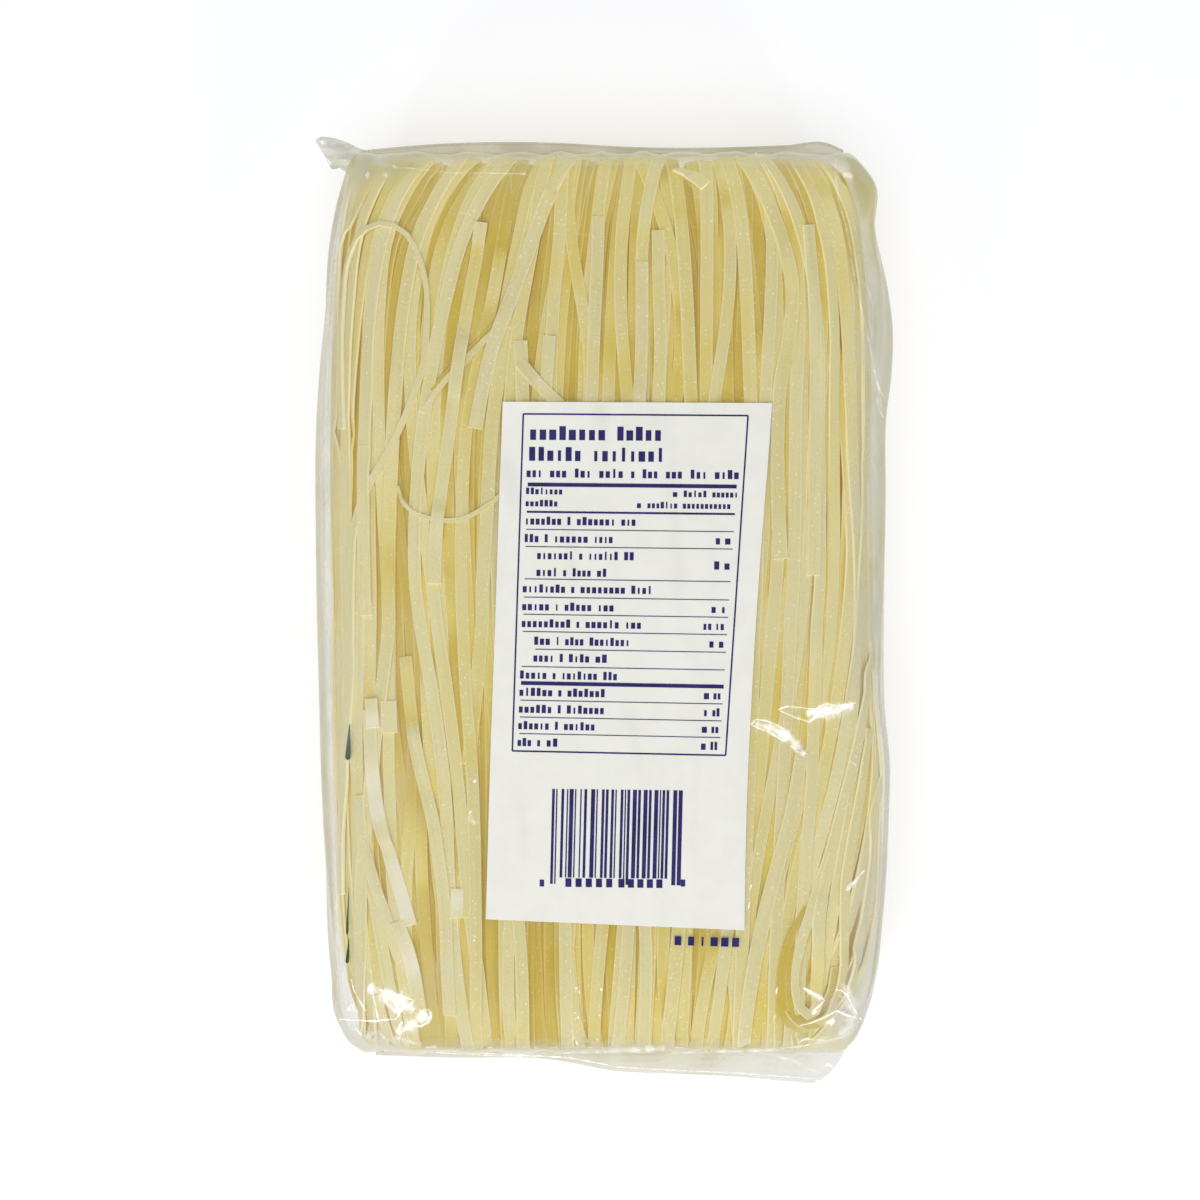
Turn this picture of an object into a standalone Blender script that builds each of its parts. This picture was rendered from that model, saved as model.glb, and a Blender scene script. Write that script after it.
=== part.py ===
"""A sealed clear bag of dried flat rice noodles, lying on its printed front with its back up.

The bag is one piece of film round a block of noodles, so it is one solid: the filled body, the seal that
stands out at its lower end, the seal folded down at its upper end, and the ear of film that the upper
seal leaves at one corner. Metres, +Z up. +Y runs to the bag's upper end, along the noodles, and the
origin is under the middle of the bag's bounding box, on the surface that it lies on.
"""

import math

import bmesh
import bpy
import numpy as np

MM = 0.001

# Driving dimensions
LOWER_END = -110.2 * MM  # where the film closes on the lower seal
UPPER_END = 112.9 * MM  # where it closes on the upper seal
THICKNESS = 46 * MM
SEAL_HEIGHT = 20 * MM  # of both end seals above the surface
SEAL_THICKNESS = 1.2 * MM  # two films and the air between them

# The edges seen from above, in mm. Left and right are y then x, the seals' rims are x then y
LEFT_EDGE = ((-111, -58), (-108, -61.5), (-103, -64.6), (-90, -66.2), (-60, -68.1), (-20, -69.2), (15, -70),
             (44, -70), (72, -68.2), (92, -66.4), (104, -63.9), (110, -62), (114, -60))
RIGHT_EDGE = ((-111, 59), (-106, 62.6), (-98, 66), (-76, 69.2), (-52, 70.8), (-40, 70.9), (-24, 69), (30, 69.7),
              (47, 69.8), (58, 71), (70, 71.2), (78, 70.3), (95, 67.4), (106, 67.2), (111, 63.6), (114, 59.6))
LOWER_RIM = ((-56, -110.4), (-41, -110.9), (-11, -111.7), (3, -114.2), (18, -114.9), (38, -116), (48, -116.9),
             (53.6, -116.8), (56, -115.2), (59.3, -111.2), (61, -108))
UPPER_RIM = ((-60, 113.2), (-50, 114.2), (-30, 115.3), (-10, 115.1), (8, 114.1), (28, 114), (46, 114.6),
             (56, 115.1), (60, 113.4))

# Form of the filled body
ROUND_SECTION = 4.4  # how square a cross-section is: 2 is an ellipse
BLUNT_END = 4.6  # how abruptly the thickness closes towards the seals
FLAT_BASE = 0.9 * MM  # how much of the rounded underside is pressed flat
RIBS_ROUND = 72
RIBS_ALONG = 46

# Soft relief of the film
LUMP = 0.5 * MM
PLEAT = 1.0 * MM
PLEAT_PITCH = 12 * MM
PLEAT_REACH = 8 * MM  # how far from an end the pleats fade out

# The seals
SEAL_ROOT = 9 * MM  # how far a seal runs into the body
SEAL_WAVE = 0.9 * MM
SEAL_RIBS = 30
UPPER_SEAL_DROP = 8 * MM  # the upper seal hangs this far down below its bend
UPPER_SEAL_BEND = 2.2 * MM

# The ear at the upper left corner, its ribs in mm: distance along it, half-width, half-thickness
EAR_ROOT = (-61 * MM, 111.3 * MM)
EAR_TURN = math.radians(162)
EAR_RIBS = ((-4, 4.6, 2.4), (0, 4.2, 2.0), (2.5, 3.3, 1.5), (5, 3.0, 1.3), (7, 3.3, 1.1), (8.8, 2.8, 0.7))

FILM_COLOUR = (0.66, 0.6, 0.36, 1.0)
FILM_ROUGHNESS = 0.25


def clear_scene():
    for old in list(bpy.data.objects):
        bpy.data.objects.remove(old, do_unlink=True)


def film_over_noodles():
    """The look of the pack as a whole: pale straw noodles seen through glossy film."""
    material = bpy.data.materials.new("film_over_noodles")
    material.use_nodes = True
    shader = material.node_tree.nodes["Principled BSDF"]
    shader.inputs["Base Color"].default_value = FILM_COLOUR
    shader.inputs["Roughness"].default_value = FILM_ROUGHNESS
    shader.inputs["Metallic"].default_value = 0.0
    return material


def add_object(name, bm):
    mesh = bpy.data.meshes.new(name)
    bmesh.ops.recalc_face_normals(bm, faces=bm.faces)
    bm.to_mesh(mesh)
    bm.free()
    made = bpy.data.objects.new(name, mesh)
    bpy.context.scene.collection.objects.link(made)
    return made


def loft(name, rings):
    """One closed body through rings of points, the first and the last filled."""
    bm = bmesh.new()
    loops = [[bm.verts.new(point) for point in ring] for ring in rings]
    for near, far in zip(loops, loops[1:]):
        for i in range(len(near)):
            bm.faces.new((near[i - 1], near[i], far[i], far[i - 1]))
    bm.faces.new(loops[0])
    bm.faces.new(loops[-1])
    return add_object(name, bm)


def through(knots, where):
    """The smooth line through knots given in mm, read at a place in metres."""
    at, value = np.array(knots).T * MM
    slope = np.gradient(value, at)
    i = np.clip(np.searchsorted(at, where) - 1, 0, len(at) - 2)
    step = at[i + 1] - at[i]
    t = np.clip((where - at[i]) / step, 0, 1)
    start = (1 + 2 * t) * (1 - t) ** 2 * value[i] + t * (1 - t) ** 2 * step * slope[i]
    return start + t**2 * (3 - 2 * t) * value[i + 1] - t**2 * (1 - t) * step * slope[i + 1]


def signed_power(value, power):
    return np.sign(value) * np.abs(value) ** power


def body_ring(along):
    """The cross-section at a share of the way from the lower end, -1, to the upper end, 1."""
    turn = np.linspace(0, 2 * math.pi, RIBS_ROUND, endpoint=False)
    y = (LOWER_END + UPPER_END) / 2 + along * (UPPER_END - LOWER_END) / 2
    left, right = through(LEFT_EDGE, y), through(RIGHT_EDGE, y)
    height = max(1 - abs(along) ** (BLUNT_END * 2.2), 0) ** (1 / BLUNT_END)
    half_height = max(height * THICKNESS / 2, SEAL_THICKNESS / 2)
    middle = SEAL_HEIGHT + (THICKNESS / 2 - SEAL_HEIGHT) * height
    x = (left + right) / 2 + (right - left) / 2 * signed_power(np.cos(turn), 2 / ROUND_SECTION)
    z = half_height * signed_power(np.sin(turn), 2 / ROUND_SECTION)
    # the bulk of the noodles makes low lumps
    lumps = np.sin(x / (13 * MM) + 1.7 * math.sin(y / (31 * MM))) * np.cos(y / (37 * MM) + x / (29 * MM))
    above = np.clip(z / (THICKNESS / 2), 0, 1)
    # the film gathers in pleats towards the ends: across the top near an end, and down the end itself
    from_end = min(UPPER_END - y, y - LOWER_END)
    pleats = np.cos(2 * math.pi * x / PLEAT_PITCH + 2.1 * np.sin(x / (17 * MM)))
    on_top = math.exp(-from_end / PLEAT_REACH) * height
    on_end = (1 - height) * height * 2.4 * math.copysign(1, along)
    z = z + middle + above * (LUMP * lumps * height + PLEAT * pleats * on_top) - FLAT_BASE * height
    ys = y + PLEAT * 0.7 * pleats * on_end * np.abs(np.sin(turn))
    z = np.maximum(z, 0)
    return [(float(px), float(py), float(pz)) for px, py, pz in zip(x, ys, z)]


def filled_body():
    """The block of noodles in its film, closed at both ends on a level line."""
    shares = np.sin(np.linspace(-math.pi / 2, math.pi / 2, RIBS_ALONG))
    shares = np.sign(shares) * np.abs(shares) ** 0.8
    return loft("bag", [body_ring(float(share)) for share in shares])


def lower_seal():
    """A level fin that stands out of the lower end, further on one side, wavy along its rim."""
    rings = []
    level = SEAL_HEIGHT - FLAT_BASE / 2
    for x in np.linspace(LOWER_RIM[0][0] * MM, LOWER_RIM[-1][0] * MM, SEAL_RIBS):
        wave = SEAL_WAVE * math.sin(x / (9 * MM)) * math.cos(x / (23 * MM))
        low, high = level - SEAL_THICKNESS / 2, level + SEAL_THICKNESS / 2
        tip, root = through(LOWER_RIM, x), LOWER_END + SEAL_ROOT
        rings.append([(x, tip, low + wave), (x, tip, high + wave), (x, root, high), (x, root, low)])
    return loft("lower_seal", rings)


def upper_seal():
    """A fin that leaves the upper end level, bends over at its rim and is folded down against the end."""
    rings = []
    for x in np.linspace(UPPER_RIM[0][0] * MM, UPPER_RIM[-1][0] * MM, SEAL_RIBS):
        rim, root = through(UPPER_RIM, x), UPPER_END - SEAL_ROOT
        top = SEAL_HEIGHT + SEAL_THICKNESS / 2
        section = [(x, root, top)]
        for turn in np.radians(np.linspace(90, 0, 6)):
            section.append((x, rim - UPPER_SEAL_BEND * (1 - math.cos(turn)),
                            top - UPPER_SEAL_BEND * (1 - math.sin(turn))))
        end = top - UPPER_SEAL_BEND - UPPER_SEAL_DROP - SEAL_WAVE * math.sin(x / (11 * MM))
        section += [(x, rim - 0.3 * MM, end), (x, root, end)]
        rings.append(section)
    return loft("upper_seal", rings)


def corner_ear():
    """The end of the upper seal, left standing out at the corner as a crumpled tuft."""
    turn = np.linspace(0, 2 * math.pi, 14, endpoint=False)
    away = np.array([math.cos(EAR_TURN), math.sin(EAR_TURN)])
    side = np.array([-away[1], away[0]])
    rings = []
    for number, (distance, half_width, half_thickness) in enumerate(EAR_RIBS):
        ring = []
        for angle in turn:
            spread = half_width * MM * math.cos(angle)
            ragged = 1.2 * MM * math.cos(2 * angle) if number == len(EAR_RIBS) - 1 else 0.0
            place = np.array(EAR_ROOT) + away * (distance * MM + ragged) + side * spread
            fold = 0.7 * MM * math.sin(spread / (1.4 * MM) + number)
            ring.append((place[0], place[1], SEAL_HEIGHT + fold + half_thickness * MM * math.sin(angle)))
        rings.append(ring)
    return loft("corner_ear", rings)


def join(body, addition):
    """Makes the addition one piece with the body."""
    union = body.modifiers.new("join_" + addition.name, "BOOLEAN")
    union.operation = "UNION"
    union.solver = "EXACT"
    union.object = addition
    addition.hide_render = True
    addition.display_type = "WIRE"


def main():
    clear_scene()
    bag = filled_body()
    for addition in (lower_seal(), upper_seal(), corner_ear()):
        join(bag, addition)
    bag.data.materials.append(film_over_noodles())
    bag.data.shade_smooth()
    bag.data.set_sharp_from_angle(angle=math.radians(40))


main()
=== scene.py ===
"""A sealed clear bag of dried flat rice noodles, lying on its printed front with its back up.

Lengths in the making functions are in mm and every mesh is put down in metres. x runs across the bag, y along
the noodles to the upper end, and z up from the surface that the bag lies on.
"""

import math

import bpy
import numpy as np
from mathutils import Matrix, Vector


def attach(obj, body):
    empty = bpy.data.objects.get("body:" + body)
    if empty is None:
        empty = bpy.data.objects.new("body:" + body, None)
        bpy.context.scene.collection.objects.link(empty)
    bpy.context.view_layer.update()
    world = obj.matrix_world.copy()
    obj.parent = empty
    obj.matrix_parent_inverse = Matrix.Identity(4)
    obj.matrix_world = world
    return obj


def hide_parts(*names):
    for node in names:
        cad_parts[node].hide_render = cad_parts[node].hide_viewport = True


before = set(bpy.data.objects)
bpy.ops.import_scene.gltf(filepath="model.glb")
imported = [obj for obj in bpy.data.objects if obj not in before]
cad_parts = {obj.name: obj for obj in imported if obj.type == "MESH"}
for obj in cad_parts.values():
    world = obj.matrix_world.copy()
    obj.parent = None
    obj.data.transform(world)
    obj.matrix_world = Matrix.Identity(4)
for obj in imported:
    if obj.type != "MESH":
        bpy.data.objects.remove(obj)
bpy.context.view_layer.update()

MM = 0.001

# The bag's film, as in the part's source. Its edges seen from above are y then x, the seals' rims x then y
LOWER_END, UPPER_END = -110.2, 112.9
SEAL_HEIGHT = 20.0
ROUND_SECTION = 4.4  # how square a cross-section is: 2 is an ellipse
BLUNT_END = 4.6  # how abruptly the thickness closes towards the seals
FLAT_BASE = 0.9  # how much of the rounded underside is pressed flat
LEFT_EDGE = ((-111, -58), (-108, -61.5), (-103, -64.6), (-90, -66.2), (-60, -68.1), (-20, -69.2), (15, -70),
             (44, -70), (72, -68.2), (92, -66.4), (104, -63.9), (110, -62), (114, -60))
RIGHT_EDGE = ((-111, 59), (-106, 62.6), (-98, 66), (-76, 69.2), (-52, 70.8), (-40, 70.9), (-24, 69),
              (30, 69.7), (47, 69.8), (58, 71), (70, 71.2), (78, 70.3), (95, 67.4), (106, 67.2), (111, 63.6),
              (114, 59.6))
LOWER_RIM = ((-56, -110.4), (-41, -110.9), (-11, -111.7), (3, -114.2), (18, -114.9), (38, -116), (48, -116.9),
             (53.6, -116.8), (56, -115.2), (59.3, -111.2), (61, -108))
UPPER_RIM = ((-60, 113.2), (-50, 114.2), (-30, 115.3), (-10, 115.1), (8, 114.1), (28, 114), (46, 114.6),
             (56, 115.1), (60, 113.4))

# The block of noodles: a hank folded over at the upper end and cut off at the lower one
CUT_END = -108.3
MIDDLE = 22.6  # height of the hank's middle plane
CORE_HALF = 17.6  # from the middle plane to the surface that the visible strands lie on
HALF_WIDTH = 60  # of that surface, for measuring round it
SHELL = 4.1  # what the visible strands add to it, pressed level by the film
FOLD_AT = 94.6
CORE_REACH = 13.5  # of the fold beyond FOLD_AT
FOLD_RUN = 62.0  # length given to the fold along a strand
STRAIGHT = FOLD_AT - CUT_END
WHOLE_RUN = 2 * STRAIGHT + FOLD_RUN
BLOCK_ROUND = 3.9  # how square its cross-section is
END_THINNING = 0.6  # how much thinner the hank is at the cut end
END_LENGTH = 9.0  # over what length
SQUARE_LENGTH = 12.0  # over what length the strands' upper faces turn square to it there
# its edges seen from above, y then x
BLOCK_LEFT = ((-109, -56), (-104, -60), (-97, -63.4), (-90, -65), (-50, -67.2), (0, -67.6), (50, -67.4),
              (80, -66.2), (100, -64.2), (112, -60.5))
BLOCK_RIGHT = ((-109, 51), (-104, 55.5), (-97, 61), (-90, 65), (-78, 67.8), (-60, 69), (-40, 69), (-20, 67.4),
               (0, 66.8), (30, 66.6), (60, 66.6), (85, 65.6), (100, 63.4), (112, 58.5))

# The noodles
NOODLE_WIDTH = 3.3
NOODLE_THICKNESS = 0.72
STUB_LENGTH = 14.0  # of the cut ends shown at the lower end
BURIED = 76  # strands under the combed ones
TRIES = 5  # places tried for each of them
SQUEEZE = 0.42  # what the film's pressure leaves of the steps between strands
# Of each layer of combed strands: pitch across the middle, unevenness, and how far one drifts over its length
COMBS = ((3.6, 0.7, 1.2), (3.9, 1.0, 2.4), (6.4, 1.6, 4.6))

# How the combed strands run: for some of them, named by x where they lie straightest, x at these y
FLOW_Y = (-108, -92, -70, -40, -10, 20, 50, 75, 92, 104, 112)
FLOW = {
    -66: (-61, -63.4, -65, -66, -66.2, -66.2, -66, -64.6, -62, -58.5, -55),
    -58: (-53, -55.5, -58.3, -60, -60.2, -59.5, -58.4, -57, -54.5, -50, -45),
    -50: (-43, -45, -46.6, -46.5, -46.8, -49.2, -50.5, -49.5, -46.2, -40, -35),
    -41.5: (-34, -35.5, -37.4, -38, -39, -40.5, -41.5, -40.3, -37, -32, -26),
    -33: (-28.5, -29.6, -30.5, -31, -32.5, -33.5, -33, -28, -24.6, -21.8, -18.5),
    -19.5: (-19, -19.6, -20, -20, -20, -20, -19.5, -18, -14.7, -12, -9),
    -8.5: (-9.6, -10.2, -10.4, -10, -9.4, -9, -8.5, -7, -5, -4.1, -3.4),
    3: (1, 1.2, 1.4, 1.8, 2.4, 3, 3, 2.4, 3.3, 5.4, 7),
    17.5: (13.6, 14.4, 15, 16, 17, 17.5, 17.5, 18.2, 17.4, 15.3, 13.6),
    31: (26, 27.2, 28.3, 29.6, 30.5, 31, 30.9, 31.3, 31.8, 32.4, 32.6),
    44: (32.6, 34.2, 36.4, 39.4, 41.8, 44.2, 44, 44.3, 43.2, 40, 36),
    53: (36.8, 38.2, 41, 46, 50.4, 52.2, 53, 54, 52.5, 49, 45.6),
    61: (44.8, 44.8, 47.8, 55.5, 60.2, 61.6, 61.4, 60.6, 58.4, 55, 51),
    66: (60.5, 62.8, 65.6, 67.4, 66.4, 65.8, 65.8, 65.2, 63.4, 60.4, 56.5),
}


# ---------------------------------------------------------------- helpers

def through(knots, where):
    """The smooth line through knots: between two of them a cubic with the slopes of the chords around."""
    at, value = np.array(knots, float).T
    slope = np.gradient(value, at)
    i = np.clip(np.searchsorted(at, where) - 1, 0, len(at) - 2)
    step = at[i + 1] - at[i]
    t = np.clip((where - at[i]) / step, 0, 1)
    start = (1 + 2 * t) * (1 - t) ** 2 * value[i] + t * (1 - t) ** 2 * step * slope[i]
    return start + t**2 * (3 - 2 * t) * value[i + 1] - t**2 * (1 - t) * step * slope[i + 1]


def signed_power(value, power):
    return np.sign(value) * np.abs(value) ** power


def smooth_step(low, high, value):
    t = np.clip((value - low) / (high - low), 0, 1)
    return t * t * (3 - 2 * t)


def unit(vectors):
    return vectors / np.maximum(np.linalg.norm(vectors, axis=-1, keepdims=True), 1e-9)


def walked_along(line):
    """The length walked along a line of points when each of them is reached."""
    return np.concatenate([[0], np.cumsum(np.hypot(*np.diff(line, axis=0).T))])


def neighbours(values, reach, axis):
    """The values within a reach in samples on either side of each one, along one axis, with the ends held."""
    pad = [(0, 0)] * values.ndim
    pad[axis] = (reach, reach)
    held = np.pad(values, pad, mode="edge")
    return np.lib.stride_tricks.sliding_window_view(held, 2 * reach + 1, axis=axis)


def soften(values, sigma, axis):
    """Gaussian average along one axis, sigma in samples."""
    reach = max(int(math.ceil(2.5 * sigma)), 1)
    weights = np.exp(-0.5 * (np.arange(-reach, reach + 1) / sigma) ** 2)
    return neighbours(values, reach, axis) @ (weights / weights.sum())


def highest(values, reach, axis):
    """The highest value within a reach in samples on either side, along one axis."""
    return neighbours(values, reach, axis).max(axis=-1)


def over_points(shape, *values):
    """Each of some values spread over all points of a grid, as one row of numbers."""
    return [np.broadcast_to(value, shape).ravel() for value in values]


def bilinear(field, row, column):
    """A field read between its cells at fractional rows and columns."""
    row = np.clip(row, 0, field.shape[0] - 1.001)
    column = np.clip(column, 0, field.shape[1] - 1.001)
    i, j = row.astype(int), column.astype(int)
    a, b = row - i, column - j
    near = field[i, j] * (1 - b) + field[i, j + 1] * b
    far = field[i + 1, j] * (1 - b) + field[i + 1, j + 1] * b
    return near * (1 - a) + far * a


def put_mesh(name, points, faces, material, smooth=True, sharp=None, marks=None):
    """A mesh from points in mm and a list of arrays of faces, each array with faces of one size.

    sharp picks the edges that stay crisp, from the two point numbers of each edge. marks are values or
    vectors for each point, kept in the mesh under their names for its finish to read.
    """
    mesh = bpy.data.meshes.new(name)
    points = np.asarray(points, np.float32).reshape(-1, 3) * MM
    mesh.vertices.add(len(points))
    mesh.vertices.foreach_set("co", points.ravel())
    corners = np.concatenate([f.ravel() for f in faces]).astype(np.int32)
    sizes = np.concatenate([np.full(len(f), f.shape[1]) for f in faces])
    starts = np.concatenate([[0], np.cumsum(sizes)[:-1]]).astype(np.int32)
    mesh.loops.add(len(corners))
    mesh.loops.foreach_set("vertex_index", corners)
    mesh.polygons.add(len(starts))
    mesh.polygons.foreach_set("loop_start", starts)
    mesh.update(calc_edges=True)
    mesh.polygons.foreach_set("use_smooth", np.full(len(starts), smooth))
    if sharp is not None:
        ends = np.zeros(2 * len(mesh.edges), np.int32)
        mesh.edges.foreach_get("vertices", ends)
        crisp = mesh.attributes.new("sharp_edge", "BOOLEAN", "EDGE")
        crisp.data.foreach_set("value", sharp(ends.reshape(-1, 2)))
    for mark, values in (marks or {}).items():
        values = np.asarray(values, np.float32)
        if values.ndim == 1:
            mesh.attributes.new(mark, "FLOAT", "POINT").data.foreach_set("value", values)
        else:
            mesh.attributes.new(mark, "FLOAT_VECTOR", "POINT").data.foreach_set("vector", values.ravel())
    mesh.materials.append(material)
    made = bpy.data.objects.new(name, mesh)
    bpy.context.scene.collection.objects.link(made)
    return made


def grid_faces(rows, columns, closed=False, flip=False):
    """The four-cornered faces of a grid of points, closed in its columns or open."""
    i, j = np.meshgrid(np.arange(rows - 1), np.arange(columns if closed else columns - 1), indexing="ij")
    k = (j + 1) % columns
    faces = np.stack([i * columns + j, i * columns + k, (i + 1) * columns + k, (i + 1) * columns + j], -1)
    faces = faces.reshape(-1, 4)
    return faces[:, ::-1] if flip else faces


# ---------------------------------------------------------------- finishes

class Value:
    """A socket of a finish. Arithmetic on it adds the Math nodes."""

    def __init__(self, finish, socket):
        self.finish = finish
        self.socket = socket

    def reckon(self, operation, *terms):
        inputs = dict(enumerate(terms))
        return self.finish.node("ShaderNodeMath", {"operation": operation}, inputs)[0]

    def __add__(self, other):
        return self.reckon("ADD", self, other)

    def __mul__(self, other):
        return self.reckon("MULTIPLY", self, other)

    def __sub__(self, other):
        return self.reckon("SUBTRACT", self, other)

    def __rsub__(self, other):
        return self.reckon("SUBTRACT", other, self)

    def __truediv__(self, other):
        return self.reckon("DIVIDE", self, other)

    def __pow__(self, other):
        return self.reckon("POWER", self, other)

    __radd__ = __add__
    __rmul__ = __mul__


class Node:
    """A node of a finish; its outputs are read by name or number."""

    def __init__(self, finish, node):
        self.finish = finish
        self.made = node

    def __getitem__(self, output):
        return Value(self.finish, self.made.outputs[output])


class Finish:
    """A material under construction."""

    def __init__(self, name):
        self.material = bpy.data.materials.new(name)
        self.material.use_nodes = True
        self.tree = self.material.node_tree
        self.tree.nodes.clear()

    def node(self, kind, settings=None, inputs=None):
        """Adds a node: its settings first, then the values or links of its sockets."""
        made = self.tree.nodes.new(kind)
        for setting, value in (settings or {}).items():
            if setting == "stops":
                ramp = made.color_ramp
                while len(ramp.elements) < len(value):
                    ramp.elements.new(0.5)
                for element, (place, colour) in zip(ramp.elements, value):
                    element.position = place
                    element.color = (*colour, 1.0)
            else:
                setattr(made, setting, value)
        for socket, value in (inputs or {}).items():
            if isinstance(value, Node):
                value = value[0]
            if isinstance(value, Value):
                self.tree.links.new(value.socket, made.inputs[socket])
            elif isinstance(value, tuple) and made.inputs[socket].type == "RGBA":
                made.inputs[socket].default_value = (*value[:3], 1.0)
            else:
                made.inputs[socket].default_value = value
        return Node(self, made)

    def mark(self, name):
        """A value that the mesh carries."""
        return self.node("ShaderNodeAttribute", {"attribute_name": name})

    def mix(self, share, low, high):
        """A colour between two."""
        node = self.node("ShaderNodeMix", {"data_type": "RGBA"}, {0: share, 6: low, 7: high})
        return node[2]

    def noise(self, place, scale, detail=2.0, roughness=0.5):
        inputs = {"Vector": place, "Scale": scale, "Detail": detail, "Roughness": roughness}
        return self.node("ShaderNodeTexNoise", {}, inputs)[0]

    def steps(self, value, low, high):
        """0 below low, 1 above high, smooth between."""
        settings = {"interpolation_type": "SMOOTHSTEP"}
        return self.node("ShaderNodeMapRange", settings, {0: value, 1: low, 2: high})[0]

    def place(self, x, y, z):
        return self.node("ShaderNodeCombineXYZ", {}, {0: x, 1: y, 2: z})[0]

    def bump(self, height, strength, distance, normal=None):
        inputs = {"Height": height, "Strength": strength, "Distance": distance}
        if normal is not None:
            inputs["Normal"] = normal
        return self.node("ShaderNodeBump", {}, inputs)[0]

    def surface(self, shader):
        self.node("ShaderNodeOutputMaterial", {}, {"Surface": shader})
        return self.material

    @staticmethod
    def unlisted(material):
        """Keeps a faintly lit finish out of the list of lamps."""
        material.cycles.emission_sampling = "NONE"
        return material


def noodle_finish():
    """Dried rice noodle: pale straw, with fine cross lines from the rollers and tiny air bubbles. Painted
    shade makes it darker and more golden where it lies deep between others. Painted highlights make its edges
    paler, lay a sheen on some pieces and lighten the strands towards the bag's sides. A faint painted glow of
    its own, golden between the strands, lifts the shade on their sides, in deep places, over the fold and at
    the cut ends of pieces, standing in for the light that wanders inside the clear noodles."""
    f = Finish("noodle")
    grain = f.mark("grain")[1]
    split = f.node("ShaderNodeSeparateXYZ", {}, {0: grain})
    along, across, tone = split[0], split[1], split[2]
    depth = f.mark("depth")[2]
    own = tone * 90.0

    def pattern(scale_along, scale_across, detail=1.0, roughness=0.6):
        """Clouds in a strand's own place, stretched along and across it."""
        place = f.place(along * scale_along, across * scale_across, own)
        return f.noise(place, 1.0, detail, roughness)

    cloudy = pattern(0.05, 0.4)
    lines = pattern(1.9, 0.35)
    streaks = pattern(0.03, 1.6)
    grit = pattern(2.2, 3.6, 2.0, 0.7)
    place = f.place(along, across * (NOODLE_WIDTH / 2), own)
    bubbles = f.node("ShaderNodeTexVoronoi", {"feature": "F1"}, {"Vector": place, "Scale": 0.9})
    lit = f.node("ShaderNodeSeparateXYZ", {}, {0: bubbles[1]})[0]
    bubble = (1.0 - f.steps(bubbles[0], 0.12, 0.3)) * f.steps(lit + (tone - 0.5) * 0.5, 0.5, 0.75)
    out = f.node("ShaderNodeMath", {"operation": "ABSOLUTE"}, {0: across})[0]
    rim, side = f.steps(out, 0.74, 0.88), f.steps(out, 0.9, 0.96)
    # painted shade: the deeper a strand lies under the others, the darker and more golden it is painted, and
    # the fewer of its lighter tints show
    depth_shade = f.steps(depth + (cloudy - 0.5) * 0.9 + (tone - 0.5) * 1.5, -0.6, 4.2)
    colour = f.node("ShaderNodeValToRGB", {"stops": (
        (0.0, (0.715, 0.635, 0.32)), (0.15, (0.695, 0.61, 0.265)), (0.4, (0.675, 0.585, 0.215)),
        (0.7, (0.615, 0.507, 0.105)), (1.0, (0.45, 0.33, 0.02)))}, {0: depth_shade})[0]
    shown = 1.0 - depth_shade * 0.75
    # painted light among these tints: the pale tint lightens the strands towards the bag's sides, the rim
    # tint is a painted highlight along the edges, the gleam tint a painted sheen and the last one lightens
    # the shaded sides; the others are the noodle's own grain and air bubbles
    tints = (
        (f.mark("pale")[2] * shown, (0.87, 0.81, 0.45)),
        (f.steps(streaks, 0.5, 0.75) * shown * 0.35, (0.76, 0.70, 0.42)),
        (f.steps(streaks, 0.5, 0.25) * 0.3, (0.61, 0.51, 0.17)),
        (f.steps(lines, 0.48, 0.72) * shown * 0.15, (0.77, 0.71, 0.46)),
        (f.steps(grit, 0.5, 0.68) * shown * 0.3, (0.80, 0.745, 0.50)),
        (f.steps(grit, 0.5, 0.34) * 0.25, (0.58, 0.48, 0.17)),
        (rim * shown * 0.6, (0.84, 0.785, 0.52)),
        (bubble * shown * 0.7, (0.93, 0.90, 0.72)),
        (f.mark("gleam")[2] * (0.3 + cloudy * 0.4), (0.95, 0.93, 0.82)),
        (side * 0.4, (0.81, 0.75, 0.47)))
    for share, tint in tints:
        colour = f.mix(share, colour, tint)
    # painted glow: a faint golden light of the noodles' own that lifts the shade in deep places, on the
    # strands' sides, over the fold and at the cut ends of pieces
    painted_side_glow = f.mix(depth_shade, (0.115, 0.10, 0.046), (0.165, 0.12, 0.02))
    painted_glow = f.mix(side, f.mix(depth_shade, (0.0, 0.0, 0.0), (0.105, 0.073, 0.0)), painted_side_glow)
    painted_glow = f.mix(f.mark("turned")[2] * 0.7, painted_glow, (0.27, 0.24, 0.105))
    painted_glow = f.mix(f.mark("tip")[2] * 0.85, painted_glow, (0.38, 0.35, 0.22))
    relief = lines * 0.6 + grit * 0.35
    shader = f.node("ShaderNodeBsdfPrincipled", {}, {
        "Base Color": colour,
        "Roughness": 0.36 + lines * 0.2,
        "IOR": 1.5,
        "Normal": f.bump(relief, 0.45, 0.00012),
        "Emission Color": painted_glow,
        "Emission Strength": 1.0,
    })
    return f.unlisted(f.surface(shader))


def core_finish():
    """What shows deep between the strands: more noodles, painted darker and golden as shade, with a faint
    painted glow that lifts that shade.
    """
    f = Finish("noodles_inside")
    where = f.node("ShaderNodeTexCoord")[3]
    split = f.node("ShaderNodeSeparateXYZ", {}, {0: where})
    lines = f.noise(f.place(split[0] * 380.0, split[1] * 8.0, split[2] * 380.0), 1.0, 3.0, 0.6)
    colour = f.mix(f.steps(lines, 0.35, 0.65), (0.52, 0.39, 0.03), (0.62, 0.49, 0.08))
    shader = f.node("ShaderNodeBsdfPrincipled", {}, {
        "Base Color": colour, "Roughness": 0.6, "Normal": f.bump(lines, 0.6, 0.0006),
        "Emission Color": f.mix(lines, (0.09, 0.06, 0.0), (0.12, 0.08, 0.0)), "Emission Strength": 1.0})
    return f.unlisted(f.surface(shader))


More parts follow.
